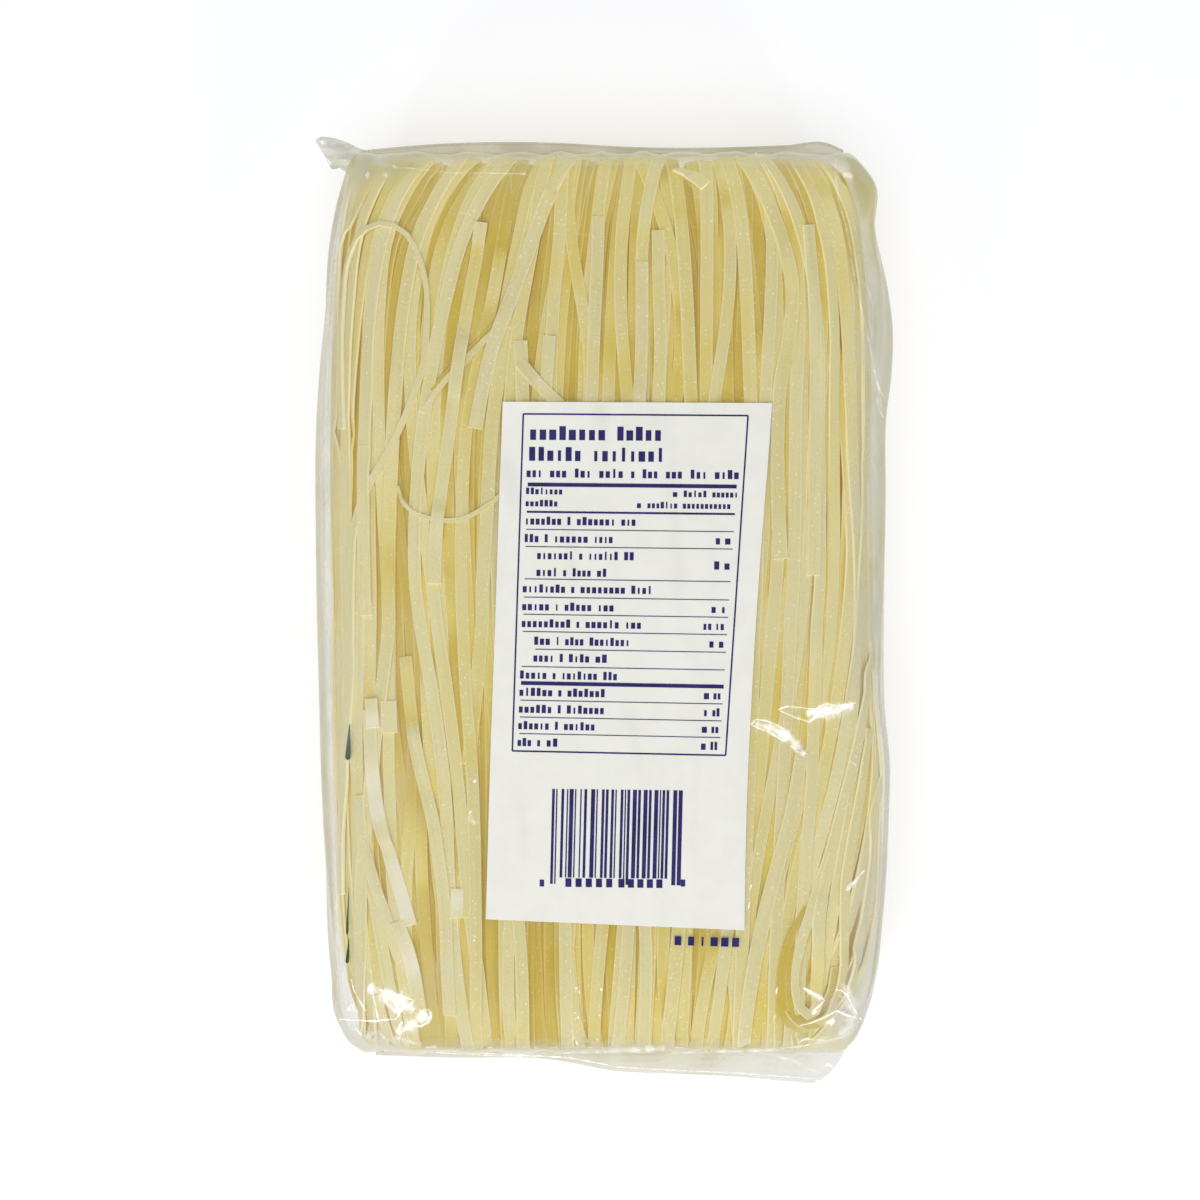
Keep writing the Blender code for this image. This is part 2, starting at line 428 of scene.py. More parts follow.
def film_finish(name, haze, milk_low, milk_high):
    """Clear film: see-through, glossy on both sides, a little milky all over, more so where it is slack and
    where it is seen on edge. Its mirroring rises with the fifth power of how edge-on it is seen."""
    f = Finish(name)
    where = f.node("ShaderNodeTexCoord")[3]
    ripple = f.noise(where, 90.0, 1.0, 0.5)
    slack = f.mark("slack")[2]
    edge_on = f.node("ShaderNodeLayerWeight", {}, {"Blend": 0.5})[1]
    clear = f.node("ShaderNodeBsdfTransparent", {}, {"Color": (0.98, 0.98, 0.965)})
    milk = f.node("ShaderNodeBsdfPrincipled", {}, {
        "Base Color": f.mix(f.mark("warm")[2], milk_low, milk_high), "Roughness": 0.5})
    gloss = f.node("ShaderNodeBsdfGlossy", {}, {
        "Color": (1.0, 1.0, 1.0), "Roughness": 0.09, "Normal": f.bump(ripple, 0.35, 0.0008)})
    cloudy = f.steps(ripple, 0.35, 0.7)
    hazy = haze + slack * (0.65 + cloudy * 0.6) + f.steps(edge_on, 0.1, 0.9) * 0.18 + cloudy * 0.04
    body = f.node("ShaderNodeMixShader", {}, {0: hazy, 1: clear, 2: milk})
    both = f.node("ShaderNodeMixShader", {}, {0: edge_on**5.0 * 0.5 + 0.06, 1: body, 2: gloss})
    return f.surface(both)


def crease_glint_finish():
    """Film whitened along a sharp crease, with a painted glint on it: white, glossy and faintly glowing in
    its middle, clear at its sides.
    """
    f = Finish("film_crease_glint")
    white = f.mark("white")[2]
    broken = f.noise(f.node("ShaderNodeTexCoord")[3], 1400.0, 2.0, 0.6)
    share = f.steps(white * (0.55 + broken * 0.9), 0.0, 0.9)
    clear = f.node("ShaderNodeBsdfTransparent", {}, {"Color": (1.0, 1.0, 1.0)})
    # painted glint: near-white, with a faint glow of its own
    bright = f.node("ShaderNodeBsdfPrincipled", {}, {
        "Base Color": f.mix(broken, (0.93, 0.93, 0.92), (0.98, 0.98, 0.97)), "Roughness": 0.3,
        "Emission Color": (1.0, 1.0, 0.98), "Emission Strength": 0.25})
    return f.unlisted(f.surface(f.node("ShaderNodeMixShader", {}, {0: share, 1: clear, 2: bright})))


# ---------------------------------------------------------------- the hank

def half_ring():
    """The surface that the visible strands lie on, cut across: from one side over the top to the other, a
    superellipse, read by arc length. Returns the share of the arc, -1 to 1, and x and height at it."""
    turn = np.linspace(math.pi, 0, 901)
    x = signed_power(np.cos(turn), 2 / BLOCK_ROUND)
    high = np.sin(turn).clip(0) ** (2 / BLOCK_ROUND)
    length = walked_along(np.column_stack([x * HALF_WIDTH, high * CORE_HALF]))
    return 2 * length / length[-1] - 1, x, high, length[-1] / 2


RING_SHARE, RING_X, RING_HIGH, HALF_ARC = half_ring()


def core_edges(y):
    return through(BLOCK_LEFT, y) + SHELL, through(BLOCK_RIGHT, y) - SHELL


def across_at(x, left, right, limit):
    """p of the place on that surface that has this x, kept within a share of the way to the sides."""
    across = np.clip((x - (left + right) / 2) / ((right - left) / 2), -limit, limit)
    return HALF_ARC * np.interp(across, RING_X, RING_SHARE)


def core_point(t, p, thinning=END_THINNING):
    """A point of the surface under the strands. t runs along a strand from its lower end, over the fold at
    the upper end and back underneath; p runs across, round the arc from side to side."""
    share = p / HALF_ARC
    across = np.interp(share, RING_SHARE, RING_X)
    high = CORE_HALF * np.interp(share, RING_SHARE, RING_HIGH)
    turn = np.clip((t - STRAIGHT) / FOLD_RUN, 0, 1) * math.pi
    back = np.maximum(t - STRAIGHT - FOLD_RUN, 0)
    reach = CORE_REACH * (high / CORE_HALF) ** 0.2
    # the bag closes on the cut end, so the hank thins there
    high = high * (1 - thinning * np.exp(-np.minimum(t, WHOLE_RUN - t).clip(0) / END_LENGTH))
    y = CUT_END + np.minimum(t, STRAIGHT) + reach * np.sin(turn) - back
    left, right = core_edges(y)
    x = (left + right) / 2 + (right - left) / 2 * across
    return np.stack([x, y, MIDDLE + high * np.cos(turn)], -1)


def outward(t, p):
    """The direction away from the hank at a point of that surface, as if it didn't thin at its end."""
    step = 1.2
    along = core_point(t + step, p, 0) - core_point(t - step, p, 0)
    across = core_point(t, p + step, 0) - core_point(t, p - step, 0)
    away = np.cross(across, along)
    # it turns square to y towards the cut end
    away[..., 1] *= 1 - np.exp(-np.minimum(t, WHOLE_RUN - t).clip(0) / SQUARE_LENGTH)
    return unit(away)


# The pile: how high the strands lie on that surface, cell by cell, with some spare cells round it
CELL = 0.8
SPARE_ROWS, SPARE_COLUMNS = 3, 6
PILE_ROWS = int(WHOLE_RUN / CELL) + 2 * SPARE_ROWS + 2
PILE_COLUMNS = int(2 * HALF_ARC / CELL) + 2 * SPARE_COLUMNS + 2
pile = np.zeros((PILE_ROWS, PILE_COLUMNS))


def cell_of(t, p):
    return t / CELL + SPARE_ROWS, (p + HALF_ARC) / CELL + SPARE_COLUMNS


def cells_beside(t, p, offsets):
    """Row and column of the pile at offsets across a path, between cells."""
    dt, dp = np.gradient(t), np.gradient(p)
    run = np.maximum(np.hypot(dt, dp), 1e-6)
    return cell_of(t[:, None] - (dp / run)[:, None] * offsets, p[:, None] + (dt / run)[:, None] * offsets)


def whole_cells(rows, columns):
    """The nearest cells of the pile."""
    rows = np.clip(np.rint(rows), 0, PILE_ROWS - 1).astype(int)
    columns = np.clip(np.rint(columns), 0, PILE_COLUMNS - 1).astype(int)
    return rows, columns


def rest_on(t, p, width, stiff=3.4):
    """How a strand lies on the pile: its centre line rises smoothly over what lies under its width, and it
    leans sideways with what carries it. Returns height, lean and what adds it to the pile: cells and tops."""
    offsets = np.linspace(-0.44, 0.44, 7) * width
    rows, columns = whole_cells(*cells_beside(t, p, offsets))
    under = pile[rows, columns]
    step = float(np.hypot(np.gradient(t), np.gradient(p)).mean())
    reach = max(int(stiff / step), 1)
    lean = (under[:, 4:].mean(axis=1) - under[:, :3].mean(axis=1)) / (0.5 * width)
    lean = np.clip(soften(lean, reach * 0.7, 0), -0.32, 0.32) * 0.75
    need = (under - lean[:, None] * offsets).max(axis=1)
    height = soften(highest(need, reach, 0), reach * 0.4, 0) + 0.03
    top = height[:, None] + lean[:, None] * offsets + NOODLE_THICKNESS
    return height, lean, (rows, columns, top)


def squeeze(p):
    """What the film's pressure leaves of the steps between strands: less of them on the right."""
    return SQUEEZE * (1 - 0.4 * smooth_step(30, 44, p))


def add_to_pile(cells):
    rows, columns, top = cells
    np.maximum.at(pile, (rows, columns), top)


# The section of a noodle, a flat bar with bevelled edges, in halves of its width and its thickness
BAR = np.array([(-1, -0.3), (-0.9, -1), (0.9, -1), (1, -0.3), (1, 0.3), (0.9, 1), (-0.9, 1), (-1, 0.3)])
CORNERS = len(BAR)
CRISP = (1, 2, 5, 6)  # the corners where the flat faces begin
TONE_SHIFT = 400  # mm along its pattern by which one strand's grain is set off from another's


def bar_faces(count, stations):
    """The faces of a number of closed bars: all their sides, their first ends and their last ends."""
    one = grid_faces(stations, CORNERS, closed=True, flip=True)
    starts = np.arange(count)[:, None] * stations * CORNERS
    first = starts + np.arange(CORNERS)
    return [(one[None] + starts[:, :, None]).reshape(-1, 4), first, first[:, ::-1] + (stations - 1) * CORNERS]


def long_edges(ends):
    """The edges that run along a bar, from the two point numbers of each."""
    corner = ends % CORNERS
    return corner[:, 0] == corner[:, 1]


def crisp_edges(ends):
    return long_edges(ends) & np.isin(ends[:, 0] % CORNERS, CRISP)


def strand_marks(centre, depth, above, tone):
    """What the finish reads at each point of a strand: place along and across it and its tone, how deep it
    lies, for its painted shade, how far it has gone over the upper end, for a painted glow there, and how
    much it is painted paler."""
    shape = (*centre.shape[:2], CORNERS)
    steps = np.cumsum(np.linalg.norm(np.diff(centre, axis=1), axis=2), axis=1)
    walked = np.concatenate([np.zeros((len(centre), 1)), steps], 1)
    grain = over_points(shape, (walked + tone * TONE_SHIFT)[..., None], BAR[:, 0], tone[..., None])
    # the strands lie closer on the right, so their painted shade is weaker there, and also at the lower end;
    # it is stronger towards the fold
    x, y = centre[..., 0], centre[..., 1]
    shade_scale = 1 - 0.5 * smooth_step(38, 46, x) * smooth_step(90, 60, y) - 0.15 * smooth_step(-30, -70, y)
    depth = depth * shade_scale + 0.75 * smooth_step(35, 65, y) * smooth_step(-34, -10, x)
    # painted light: the strands are painted paler towards the bag's right side and its left side, on the left
    # less so towards the upper end
    pale_left = 0.34 * smooth_step(-28, -44, x) * (1 - 0.5 * smooth_step(20, 60, y))
    pale = 0.42 * smooth_step(44, 57, x) + pale_left
    turned = smooth_step(90, 110, y)
    depth, turned, pale = over_points(shape, depth[..., None] - above, turned[..., None], pale[..., None])
    return {"grain": np.stack(grain, -1), "depth": depth, "turned": turned, "pale": pale}


def strand_mesh(name, runs, material, looks=None):
    """A piece of many strands, each a flat ribbon with bevelled edges and closed ends.

    A run holds t, p, height and lean along a strand, its width, thickness and tone. All runs of a piece have
    the same number of stations. looks adds to each strand how much deeper it looks, in painted shade, and
    where it carries a painted sheen; with looks, both ends of each strand also get a painted glow.
    """
    t, p, height, lean = (np.stack([run[k] for run in runs]) for k in range(4))
    width = np.stack([np.broadcast_to(run[4], run[0].shape) for run in runs])
    thick, tone = (np.array([run[k] for run in runs])[:, None] for k in (5, 6))
    up = outward(t, p)
    rows, columns = cell_of(t, p)
    pressed = SHELL + (height - bilinear(broad, rows, columns)) * squeeze(p)
    centre = core_point(t, p) + up * (pressed + thick / 2)[..., None]
    along = unit(np.gradient(centre, axis=1))
    side = unit(np.cross(along, up))
    up = np.cross(side, along)
    angle = np.arctan(lean)[..., None]
    side, up = side * np.cos(angle) + up * np.sin(angle), up * np.cos(angle) - side * np.sin(angle)
    across = BAR[:, 0] * width[..., None] / 2
    above = BAR[:, 1] * thick[..., None] / 2
    points = centre[:, :, None] + side[:, :, None] * across[..., None] + up[:, :, None] * above[..., None]
    marks = strand_marks(centre, bilinear(cover, rows, columns) - (height + thick), above, tone)
    if looks is not None:
        deeper, gleam = (np.stack([look[k] for look in looks])[..., None] for k in (0, 1))
        # painted glow at both ends of each piece, where the cut faces lie in shade
        tip = np.zeros(t.shape)
        tip[:, [0, -1]] = 1
        deeper, gleam, tip = over_points(points.shape[:3], deeper, gleam, tip[..., None])
        marks.update({"depth": marks["depth"] + deeper, "gleam": gleam, "tip": tip})
    return put_mesh(name, points, bar_faces(*t.shape), material, sharp=crisp_edges, marks=marks)


def gathered(t, draw):
    """How far a strand's place across is drawn towards the middle at both ends of the hank, from 1 down."""
    y = np.where(t < STRAIGHT + FOLD_RUN / 2, CUT_END + t, CUT_END + WHOLE_RUN - t)
    y = np.minimum(y, 112)
    upper = np.clip((y - 15) / 97, 0, 1) ** 2.2
    lower = np.clip((15 - y) / 123, 0, 1) ** 1.7
    return 1 - draw * (upper + lower)


def place_across(x, t, height=3.4):
    """p of the point that stands this high over the surface at t and lies at x seen from above: p is moved
    until it does."""
    left, right = core_edges(core_point(t, np.zeros_like(t))[..., 1])
    want = x + np.zeros_like(t)
    for _ in range(4):
        p = across_at(want, left, right, 0.998)
        want = want + 0.8 * (x - (core_point(t, p) + outward(t, p) * height)[..., 0])
    return p


def run_of(y):
    """t of the place that lies at y seen from above: over the straight part, or up the fold."""
    rise = np.clip((y - FOLD_AT) / (CORE_REACH + SHELL), 0, 1)
    return np.where(y < FOLD_AT, y - CUT_END, STRAIGHT + FOLD_RUN * np.arcsin(rise) / math.pi)


def flow_across(lane, y):
    """x at y of the combed strand named by its lane, read between the two rows of FLOW beside it."""
    names = sorted(FLOW)
    after = min(max(int(np.searchsorted(names, lane)), 1), len(names) - 1)
    near, far = names[after - 1], names[after]
    share = (lane - near) / (far - near)
    rows = [through(tuple(zip(FLOW_Y, FLOW[name])), y) for name in (near, far)]
    return rows[0] * (1 - share) + rows[1] * share


def lay(rng, t, stations, path, width):
    """Puts a strand on the pile along its path over t, and keeps it at the stations."""
    height, lean, cells = rest_on(t, path, width)
    add_to_pile(cells)
    at = stations.copy()
    at[[0, -1]] += rng.normal(0.3, 0.6, 2).clip(-0.3, 1.3) * (1, -1)
    return (at, *(np.interp(stations, t, v) for v in (path, height, lean)), width,
            NOODLE_THICKNESS * rng.uniform(0.92, 1.05), rng.random())


WHOLE_T = np.arange(0, WHOLE_RUN + 0.1, 0.8)
STATIONS = np.concatenate([np.arange(0, STRAIGHT, 4.2), STRAIGHT + np.arange(0, FOLD_RUN, 2.8),
                           STRAIGHT + FOLD_RUN + np.arange(0, STRAIGHT - 3, 6.5), [WHOLE_RUN]])


def buried_strands(rng):
    """The strands that show only between others. Each lies where the pile is lowest of several tries, over
    the whole run, nearly straight, drawn towards the middle at both ends, with a slow wander of its own."""
    t = WHOLE_T
    runs = []
    flow = 1.0 * np.sin(t / 95 + 0.6) + 0.4 * np.sin(t / 47 + 2.0)
    limit = HALF_ARC - 1.4
    for _ in range(BURIED):
        best = None
        for _ in range(TRIES):
            lane = rng.uniform(-limit, limit)
            wander = rng.normal(0, 0.6) * np.sin(t / rng.uniform(28, 75) + rng.uniform(0, 7))
            skew = rng.normal(0, 2.4) * (t / WHOLE_RUN - 0.5) * 2
            wander += skew + rng.normal(0, 1.6) * np.cos(t / WHOLE_RUN * 6.28)
            drawn = gathered(t, rng.uniform(0.0, 0.36))
            p = np.clip((lane + flow * np.cos(lane / 50)) * drawn + wander, -limit, limit)
            width = rng.normal(NOODLE_WIDTH, 0.13)
            height = rest_on(t, p, width)[0]
            cost = height.mean() + 0.35 * height.max()
            if best is None or cost < best[0]:
                best = (cost, p, width)
        runs.append(lay(rng, t, STATIONS, *best[1:]))
    return runs


def combed_strands(rng, pitch, uneven, drift):
    """A layer of the strands that lie uppermost, side by side, along the flow of the upper side. Each drifts
    across its neighbours by its own slope above and below the middle, and eases back past the fold."""
    t = WHOLE_T
    turn_over = STRAIGHT + FOLD_RUN / 2
    y = core_point(np.minimum(t, turn_over), np.zeros_like(t))[:, 1]
    y = np.where(t < STRAIGHT, y, FOLD_AT + (y - FOLD_AT) * (CORE_REACH + SHELL) / CORE_REACH)
    back = smooth_step(turn_over, WHOLE_RUN - 60, t)
    lanes = np.arange(-66 + rng.uniform(0, pitch), 66.4, pitch)
    runs = []
    for lane in rng.permutation(lanes):
        lane = min(lane + rng.normal(0, uneven), 66)
        wander = rng.normal(0, uneven) * np.sin(t / rng.uniform(14, 45) + rng.uniform(0, 7))
        upper_drift = rng.normal(0, drift) * np.maximum(y - 5, 0) / 80
        wander += upper_drift + rng.normal(0, drift) * np.maximum(-5 - y, 0) / 80
        p = place_across(flow_across(lane, y) + wander, np.minimum(t, turn_over))
        p = p * (1 - back) + (p[len(t) // 4] + rng.normal(0, 2)) * back
        runs.append(lay(rng, t, STATIONS, p, rng.normal(NOODLE_WIDTH, 0.12)))
    return runs


def loose_piece(line, width=(3.3,), thick=0.8, deep=(0.0,), painted_sheens=()):
    """One strand or piece that lies on top of the others: points along its middle as x, y seen from above,
    the widths along it, its thickness, how deep it is painted in golden shade along it, and where along it,
    as a share, and over how much of it, it carries a painted sheen."""
    return line, width, thick, deep, painted_sheens


LOOSE = (
    # the loop at the upper left, on edge round its top, its right leg crossing down to the left side
    loose_piece(((-63.8, 44), (-64.2, 60), (-63.8, 76), (-62.8, 85), (-60.3, 91), (-56.5, 93.8),
                 (-52.5, 94.3), (-48.8, 92.6), (-46, 89), (-44.2, 84), (-42.9, 77), (-42.9, 70), (-43.7, 60),
                 (-47.2, 49.8), (-52.2, 39), (-57.6, 29.5), (-60.6, 21), (-61.5, 10), (-61.8, -4),
                 (-61.9, -18), (-62.6, -30), (-63.8, -44), (-64.6, -60), (-64.9, -70.5)),
                (2.2, 1.4, 1.3, 1.4, 1.6, 2.0, 2.8, 3.1, 3.1, 3.0), 1.0),
    # a thin one on edge that runs under the label
    loose_piece(((-50.4, 30), (-49.2, 26.8), (-46.6, 24), (-42.8, 22.2), (-38.5, 21.5), (-34.6, 21.9),
                 (-31, 23.3), (-27.6, 25.5), (-24.5, 28), (-21, 31)), (0.9, 1.1, 1.2, 1.1), 1.0),
    # a piece painted in deep golden shade, standing for a dark opening across the others, with a thin one in
    # it
    loose_piece(((-25.6, 71), (-30.6, 64.4), (-36.4, 58.6), (-42, 53.4)), (0.4, 2.6, 3.2, 2.2, 0.4), 0.5,
                (7.0,)),
    loose_piece(((-22.8, 71.6), (-27.6, 66.8), (-33.4, 61), (-39.4, 54.6), (-44, 48)), (1.5,), 0.6, (0.6,)),
    # long ones that cross the others on the upper side
    loose_piece(((-7.6, 111.2), (-10.8, 105), (-14.4, 97.4), (-18, 87.5), (-21.3, 78.5), (-24, 71.5),
                 (-26.4, 65), (-29, 55), (-31, 44)), (3.6,)),
    loose_piece(((-29.6, 94.6), (-31, 85), (-32.5, 77), (-34, 68), (-35.8, 55.5), (-37.6, 42), (-39.3, 30),
                 (-40.6, 18), (-41, 6))),
    loose_piece(((35, 110.6), (38, 105.5), (40.6, 100), (44.8, 89), (46.9, 78), (46.2, 67.5), (43.9, 55),
                 (43.2, 42), (43.2, 28), (44, 12)), (3.6,)),
    # pieces cut off in sight on the upper side
    loose_piece(((-0.8, 96), (-1.1, 85), (-1.8, 70), (-2.5, 50), (-3, 38))),
    loose_piece(((9.9, 85), (9.9, 75), (9.7, 60), (9.2, 50), (9, 38)), (3.3,)),
    loose_piece(((13.9, 92.7), (14, 80), (14.5, 65), (14, 50), (13.6, 38)), (3.3,)),
    loose_piece(((-12.8, 66.8), (-13.4, 58), (-14, 48), (-14.4, 38)), (3.3,)),
    loose_piece(((-19.9, 65.6), (-19.6, 58), (-19.4, 50), (-19.4, 38)), (3.5,)),
    loose_piece(((-19.9, 60.2), (-16.8, 56.4), (-12, 51.5), (-7, 46.5), (-2, 42)), (3.2,)),
    loose_piece(((25.6, 103.4), (23.2, 105.4), (20.4, 107.2), (18.4, 108.2)), (3.2,)),
    loose_piece(((50.8, 94), (51.5, 85), (52.3, 75), (52.7, 60), (52.6, 45), (52.4, 30), (52, 8)), (3.3,)),
    # pieces at the lower left, some with a painted sheen
    loose_piece(((-58, -1.8), (-58.3, 10), (-58.5, 24), (-58.2, 40)), (3.2,)),
    loose_piece(((-59.6, -46), (-58.5, -58), (-56, -67), (-52.6, -78), (-50, -86), (-46.6, -93)), (2.9,)),
    loose_piece(((-48.5, -12), (-46.5, -30), (-44, -42), (-41.5, -52), (-39.8, -63), (-38.4, -75), (-38, -86),
                 (-37.4, -100)), (3.4,)),
    loose_piece(((-52.6, -22.8), (-52.3, -30.6)), (4.0,), 0.7),
    loose_piece(((-57.2, -25), (-56.6, -38), (-55.6, -48), (-52.4, -61), (-49.6, -70), (-47.3, -78)), (3.6,),
                0.8, (0.0,), ((0.32, 0.1), (0.46, 0.05), (0.78, 0.14), (0.9, 0.1))),
    loose_piece(((-56.6, -22.2), (-56.2, -29.4)), (3.5,), 0.8, (0.0,), ((0.75, 0.4),)),
    loose_piece(((-50.4, -77), (-47.6, -85), (-45.9, -94), (-45, -101)), (3.6,), 0.8, (0.0,), ((0.4, 0.25),)),
    loose_piece(((-35.4, -68.8), (-35.4, -76)), (3.3,), 0.9, (0.0,), ((0.4, 0.5),)),
    loose_piece(((-55.6, -95), (-53.8, -101), (-51.8, -106.6)), (2.6,), 0.8, (0.8,)),
    loose_piece(((49.2, -35.4), (46.8, -49), (44, -60), (40.6, -73), (37.6, -87), (35.6, -100), (35, -107.4)),
                (3.4, 3.6, 3.8, 3.6), 0.8),
    # the two loops at the lower right, the outer one first, much of them painted in deep golden shade, with a
    # wide one under it
    loose_piece(((58.6, -88), (57.4, -95), (54.4, -99.4), (50.6, -100.9), (47.6, -98.6), (46.6, -93),
                 (47.2, -86), (49, -80)), (3.6, 4.4, 5.0, 4.6, 4.0), 0.6, (3.0, 5.0, 6.0, 7.5, 7.5)),
    loose_piece(((66.5, -30), (64, -45), (61.6, -58), (60.2, -68), (60, -78), (60.3, -88), (59, -94.5),
                 (56, -99), (52, -101.8), (47.8, -102.4), (45, -100), (44.2, -95), (44.3, -89), (45.6, -83),
                 (47.6, -78), (50, -73)),
                (3.2, 3.3, 3.4, 3.2, 3.0, 3.0, 3.0, 2.4, 1.0), 0.7, (0, 0, 0, 0, 1.2, 4, 7.5, 7.5)),
    loose_piece(((66.2, -8), (65, -22), (62.5, -36), (59.5, -48), (56.4, -60), (53.6, -68), (51.6, -74),
                 (49.8, -79), (48.3, -84.5), (47.4, -89.5), (47.5, -94), (48.8, -98), (50.6, -99.3),
                 (52.6, -97.6), (53.4, -92), (53.5, -85), (53.2, -78), (54.4, -70), (57, -60)),
                (3.2, 3.5, 3.7, 3.6, 3.3, 2.0, 3.2, 3.6, 3.2), 0.7),
    loose_piece(((68, -34), (67.6, -50), (66.4, -65), (64.6, -78), (62.6, -90), (60.4, -98)), (2.6,)),
)


def cut_ends(rng):
    """The ends of the strands inside the hank, seen at its lower end: x, level and end offset of each, in
    rows that fill the hank's section."""
    places = []
    half_width = (through(BLOCK_RIGHT, CUT_END) - through(BLOCK_LEFT, CUT_END)) / 2 - SHELL
    centre = (through(BLOCK_RIGHT, CUT_END) + through(BLOCK_LEFT, CUT_END)) / 2
    half_height = CORE_HALF * (1 - END_THINNING)
    for level in np.arange(-half_height + 0.3, half_height - 0.3, 1.02):
        reach = half_width * (1 - abs(level / half_height) ** BLOCK_ROUND) ** (1 / BLOCK_ROUND)
        start = -reach + rng.uniform(0, 2)
        for x in np.arange(start, reach - 1, 3.55):
            wave = 0.4 * math.sin(x / 7.5 + level / 3) + 0.25 * math.sin(x / 2.9 + level)
            side = centre + x + rng.normal(0, 0.35)
            high = level + wave + rng.normal(0, 0.15)
            places.append((side, high, rng.uniform(-0.4, 1.4)))
    return np.array(places)


def stub_mesh(name, places, material, rng):
    """Short straight strands along y from the cut end inwards, from their x, level and end offset."""
    count = len(places)
    turn = rng.normal(0, 0.16, count)
    across = BAR[:, 0] * NOODLE_WIDTH / 2
    above = BAR[:, 1] * NOODLE_THICKNESS / 2
    x = places[:, 0, None] + across * np.cos(turn)[:, None] - above * np.sin(turn)[:, None]
    z = MIDDLE + places[:, 1, None] + across * np.sin(turn)[:, None] + above * np.cos(turn)[:, None]
    y = CUT_END + places[:, 2]
    yaw = rng.normal(0, 0.02, count)
    rings = []
    for far in (0.0, STUB_LENGTH):
        rings.append(np.stack([x + far * yaw[:, None], np.broadcast_to((y + far)[:, None], x.shape), z], -1))
    points = np.stack(rings, 1)
    tone = rng.random(count)[:, None, None]
    walked = tone * TONE_SHIFT + np.array([0, STUB_LENGTH])[:, None]
    # painted shade: each stub is painted darker and more golden from its cut end inwards
    *grain, depth = over_points(points.shape[:3], walked, BAR[:, 0], tone, np.array([0.3, 4.0])[:, None])
    return put_mesh(name, points, bar_faces(count, 2), material, sharp=long_edges,
                    marks={"grain": np.stack(grain, -1), "depth": depth})


def inside_mesh(name, material):
    """The bulk of the hank inside the visible strands: its surface is the one they lie on, a little lower,
    grooved along the strands. Its rows run over the fold and back below. The upper and the lower run share
    their side seams, and the cut end is closed between them by faces that come to a point at the seams."""
    half = np.concatenate([np.arange(3.0, STRAIGHT, 4), STRAIGHT + np.arange(0, FOLD_RUN / 2, 3.1)])
    t = np.concatenate([half, [STRAIGHT + FOLD_RUN / 2], (WHOLE_RUN - half)[::-1]])
    p = np.linspace(-HALF_ARC, HALF_ARC, 150)
    t, p = np.meshgrid(t, p, indexing="ij")
    sunk = (0.25 * np.sin(p * 2.1 + 1.5 * np.sin(t / 19)) - 0.35) * (1 - np.abs(p / HALF_ARC) ** 6)
    points = core_point(t, p) + outward(t, p * 0.999) * sunk[..., None]
    rows, columns = t.shape
    first, last = np.arange(columns), (rows - 1) * columns + np.arange(columns)
    closing = np.stack([first[:-1], first[1:], last[1:], last[:-1]], -1)[1:-1]
    corners = np.array([(first[0], first[1], last[1]), (first[-2], first[-1], last[-2])])
    faces = np.concatenate([grid_faces(rows, columns, flip=True), closing])
    row, column = faces // columns, faces % columns
    seam = ((column == 0) | (column == columns - 1)) & (row > rows // 2)
    faces = np.where(seam, (rows - 1 - row) * columns + column, faces)
    return put_mesh(name, points, [faces, corners], material)


def loose_strands(rng):
    """The strands and pieces of the LOOSE list, laid over the rest."""
    runs, looks = [], []
    for line, width, thick, deep, painted_sheens in LOOSE:
        line = np.array(line, float)
        walked = walked_along(line)
        knots = walked / walked[-1]
        fine = np.linspace(0, 1, max(int(walked[-1] / 0.8), 12))
        x, y = (through(tuple(zip(knots, line[:, k])), fine) for k in (0, 1))
        t = run_of(y)
        p = place_across(x, t, 4.3)
        wide = np.interp(fine, np.linspace(0, 1, len(width)), width)
        height, lean, cells = rest_on(t, p, float(max(width)), 3.0)
        add_to_pile(cells)
        at = np.linspace(0, 1, LOOSE_STATIONS)
        at[[1, -2]] = 0.2 / walked[-1], 1 - 0.2 / walked[-1]
        runs.append((*(np.interp(at, fine, v) for v in (t, p, height, lean)), np.interp(at, fine, wide),
                     thick, rng.random()))
        gleam = sum((np.exp(-(((at - place) / reach) ** 2)) for place, reach in painted_sheens), np.zeros_like(at))
        looks.append((np.interp(at, np.linspace(0, 1, len(deep)), deep), gleam.clip(0, 1)))
    return runs, looks


LOOSE_STATIONS = 64
LAYERS = 4
rng = np.random.default_rng(20)
runs = buried_strands(rng)
for pitch, uneven, drift in COMBS:
    runs += combed_strands(rng, pitch, uneven, drift)
# the film presses the pile level: what counts is how far a strand lies below the pile's broad upper side
broad = soften(soften(highest(highest(pile, 8, 1), 14, 0), 5, 1), 9, 0)
cover = soften(soften(highest(highest(pile, 4, 1), 8, 0), 3, 1), 5, 0)
loose, loose_looks = loose_strands(rng)
NOODLE = noodle_finish()
share = -(-len(runs) // LAYERS)
strands = []
for k in range(LAYERS):
    strands.append(strand_mesh("noodles_layer_%d" % (k + 1), runs[k * share:(k + 1) * share], NOODLE))
strands.append(strand_mesh("noodles_loose", loose, NOODLE, loose_looks))
ends = stub_mesh("noodle_ends", cut_ends(rng), NOODLE, rng)
inside = inside_mesh("noodles_inside", core_finish())

# ---------------------------------------------------------------- the film

FILM_TOP = 44.55  # where the film lies when no strand lifts it
FILM_FLOOR = 0.12
CLOSED_HALF = 0.12  # half the height of the film where the two halves meet
BAG_MIDDLE = (LOWER_END + UPPER_END) / 2
HALF_LENGTH = (UPPER_END - LOWER_END) / 2
HALF_BAG = (70, 111.5, 22.5)  # half the width, length and height, for measuring round the bag
CLOSING = BLUNT_END * 2.2  # how late the thickness starts to close towards the ends
PLEAT_PITCH = 12
OVER_STRANDS = 0.15  # the film's distance to the strands that lift it


